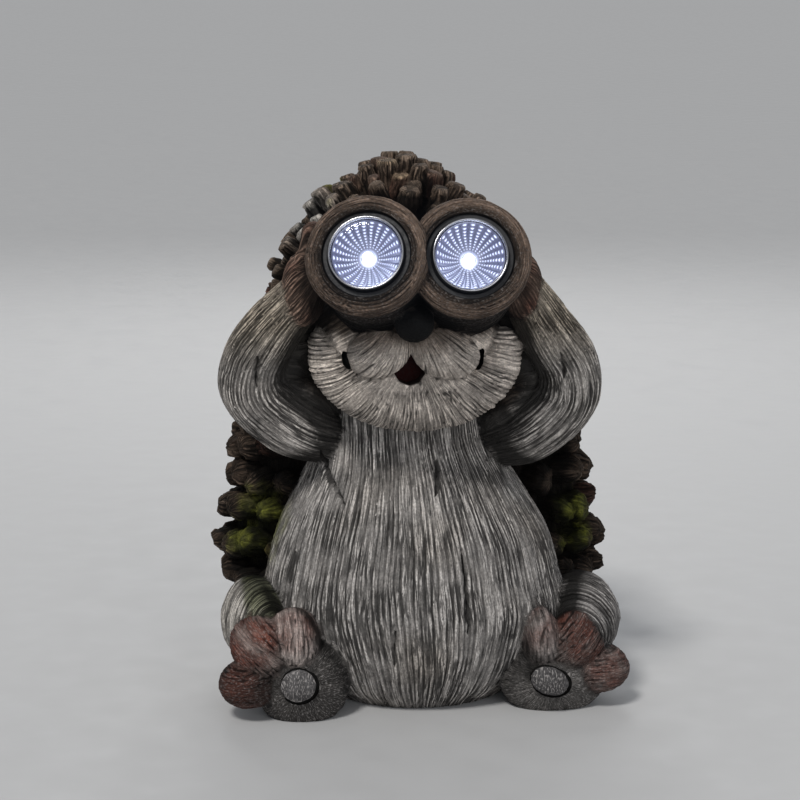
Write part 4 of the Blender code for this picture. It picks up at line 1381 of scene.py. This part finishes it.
def make_reflector(side, finish):
    """A bowl with ribs that run out from the LED, each crossed by steps: every crest is a bright spot of
    painted glow.
    """
    front = -LENS_BACK - PLAY
    turns, rings = REFLECTOR_RIBS * RIB_POINTS, REFLECTOR_STEPS * STEP_RINGS
    span = REFLECTOR_RADIUS - REFLECTOR_GAP - REFLECTOR_HOLE_RADIUS
    inner, low = REFLECTOR_HOLE_RADIUS - COLLAR, front - REFLECTOR_DEPTH - REFLECTOR_GAP
    collar = [math.tau * i / turns for i in range(turns)]
    rows = [[Vector((inner * math.cos(t), inner * math.sin(t), low)) for t in collar]]
    crests = [0.55] * turns
    for k in range(rings + 1):
        share = k / rings
        radius = REFLECTOR_HOLE_RADIUS + span * share
        height = front - REFLECTOR_DEPTH * (1 - share**REFLECTOR_CURVE)
        step = 0.5 - 0.5 * math.cos(math.tau * k / STEP_RINGS)
        inside = math.sin(math.pi * min(max(share, 0.02), 0.98)) ** 0.3
        row = []
        for i in range(turns):
            rib = 0.5 - 0.5 * math.cos(math.tau * i / RIB_POINTS)
            lift = RIB_HEIGHT * (0.25 + share) * rib + STEP_HEIGHT * rib * step * inside
            lift *= 1 - share**8
            t = math.tau * (i / turns + RIB_SWIRL * math.sin(math.pi * share))
            row.append(Vector(((radius - lift) * math.cos(t), (radius - lift) * math.sin(t), height + lift)))
            # painted glow of the LED's light: brightest on the crests of the ribs and steps
            bright = min(1.0, max(0.0, rib - 0.3) * 1.7)
            crests.append(bright * (0.06 + 1.0 * step**2) * (0.7 + 0.3 * share))
        rows.append(row)

    def outward(point, distance):
        return point + Vector((point.x, point.y, 0)).normalized() * distance

    skin = Skin()
    back = [[outward(point, REFLECTOR_WALL) for point in row] for row in rows[1::12]]
    back[1:] = [[point - Vector((0, 0, REFLECTOR_WALL)) for point in row] for row in back[1:]]
    back[-1] = [outward(point, REFLECTOR_GAP - 0.0001) for point in rows[-1]]
    loops = [skin.add_loop(row) for row in rows + back[::-1]]
    for first, second in zip(loops, loops[1:] + loops[:1]):
        for i in range(turns):
            j = (i + 1) % turns
            skin.add_face((first[i], first[j], second[j], second[i]))
    obj = lamp_piece("reflector", side, skin, finish, 80)
    crests += [0.0] * (len(skin.points) - len(crests))
    add_layer(obj.data, "crest", "FLOAT", held(crests))


def make_lamps():
    cup = plain_finish("black_plastic", (0.006, 0.006, 0.007), 0.6).made
    chrome = plain_finish("chrome", (0.36, 0.36, 0.38), 0.20, 1.0, 700.0, 0.00001, 0.05).made
    lens, silver, led = lens_finish(), reflector_finish(), led_finish()
    for side in SIDES:
        turned_piece("lamp_cup", side, cup_outline(), 96, cup)
        turned_piece("chrome_ring", side, ring_outline(), 120, chrome)
        turned_piece("lens", side, lens_outline(), 96, lens)
        make_reflector(side, silver)
        turned_piece("led", side, led_outline(), 48, led)


# Stage, light and camera

FLOOR_REACH = 60.0
FLOOR_GAP = 0.0002  # below the underside
CAMERA_AZIMUTH = -6.0
CAMERA_ELEVATION = 11.0
CAMERA_DISTANCE = 1.15
CAMERA_AIM = (-0.0085, 0.0, 0.1365)
PIXEL = 0.000467  # the width of a pixel of the photograph's frame, at the statue
FRAME_PIXELS = 800
SENSOR = 36


def add_area(name, place, aim, size, power, colour):
    light = bpy.data.lights.new(name, "AREA")
    light.shape = "DISK"
    light.size = size
    light.energy = power
    light.color = colour
    obj = add_object(name, light)
    obj.location = place
    obj.rotation_euler = (Vector(aim) - Vector(place)).to_track_quat("-Z", "Y").to_euler()


def make_stage():
    mesh = bpy.data.meshes.new("floor")
    far = FLOOR_REACH
    corners = [(-far, -far, 0), (far, -far, 0), (far, far, 0), (-far, far, 0)]
    mesh.from_pydata(corners, [], [(0, 1, 2, 3)])
    floor = add_object("floor", mesh)
    floor.location.z = -FLOOR_GAP
    f = plain_finish("pale_floor", (0.50, 0.50, 0.50), 0.7, 0.0, 40.0, 0.0, 0.01)
    mesh.materials.append(f.made)
    world = bpy.data.worlds.new("studio")
    world.use_nodes = True
    background = world.node_tree.nodes["Background"]
    background.inputs["Color"].default_value = (0.80, 0.84, 0.90, 1.0)
    background.inputs["Strength"].default_value = 0.36
    bpy.context.scene.world = world
    sun = bpy.data.lights.new("key", "SUN")
    sun.energy = 1.8
    sun.angle = math.radians(12)
    sun.color = (1.0, 0.98, 0.95)
    key = add_object("key", sun)
    key.rotation_euler = Vector((0.42, 0.62, -1.0)).to_track_quat("-Z", "Y").to_euler()
    middle = (-0.005, 0, 0.13)
    add_area("fill", (0.4, -1.5, 0.4), middle, 1.2, 6.5, (0.97, 0.98, 1.0))
    add_area("back", (0.1, 1.1, 0.9), middle, 0.8, 5.0, (1.0, 1.0, 1.0))


def make_camera():
    azimuth, elevation = math.radians(CAMERA_AZIMUTH), math.radians(CAMERA_ELEVATION)
    level = math.cos(elevation)
    forward = Vector((-math.sin(azimuth) * level, math.cos(azimuth) * level, -math.sin(elevation)))
    camera = add_object("camera", bpy.data.cameras.new("camera"))
    camera.data.lens = CAMERA_DISTANCE / PIXEL * SENSOR / FRAME_PIXELS
    camera.data.sensor_width = SENSOR
    camera.location = Vector(CAMERA_AIM) - forward * CAMERA_DISTANCE
    camera.rotation_euler = forward.to_track_quat("-Z", "Y").to_euler()
    bpy.context.scene.camera = camera
    bpy.context.scene.view_settings.view_transform = "Standard"


def add_glow():
    """A soft glow round what is brighter than white, as a lens gives a lit LED."""
    scene = bpy.context.scene
    scene.use_nodes = True
    tree = scene.node_tree
    tree.nodes.clear()
    picture = tree.nodes.new("CompositorNodeRLayers")
    glow = tree.nodes.new("CompositorNodeGlare")
    glow.glare_type = "BLOOM"
    glow.quality = "HIGH"
    glow.inputs["Threshold"].default_value = 2.0
    glow.inputs["Strength"].default_value = 0.32
    glow.inputs["Size"].default_value = 0.35
    glow.inputs["Tint"].default_value = (0.75, 0.82, 1.0, 1.0)
    result = tree.nodes.new("CompositorNodeComposite")
    tree.links.new(picture.outputs["Image"], glow.inputs["Image"])
    tree.links.new(glow.outputs["Image"], result.inputs["Image"])


make_stage()
make_camera()
add_glow()
make_figure(resin_finish())
make_lamps()
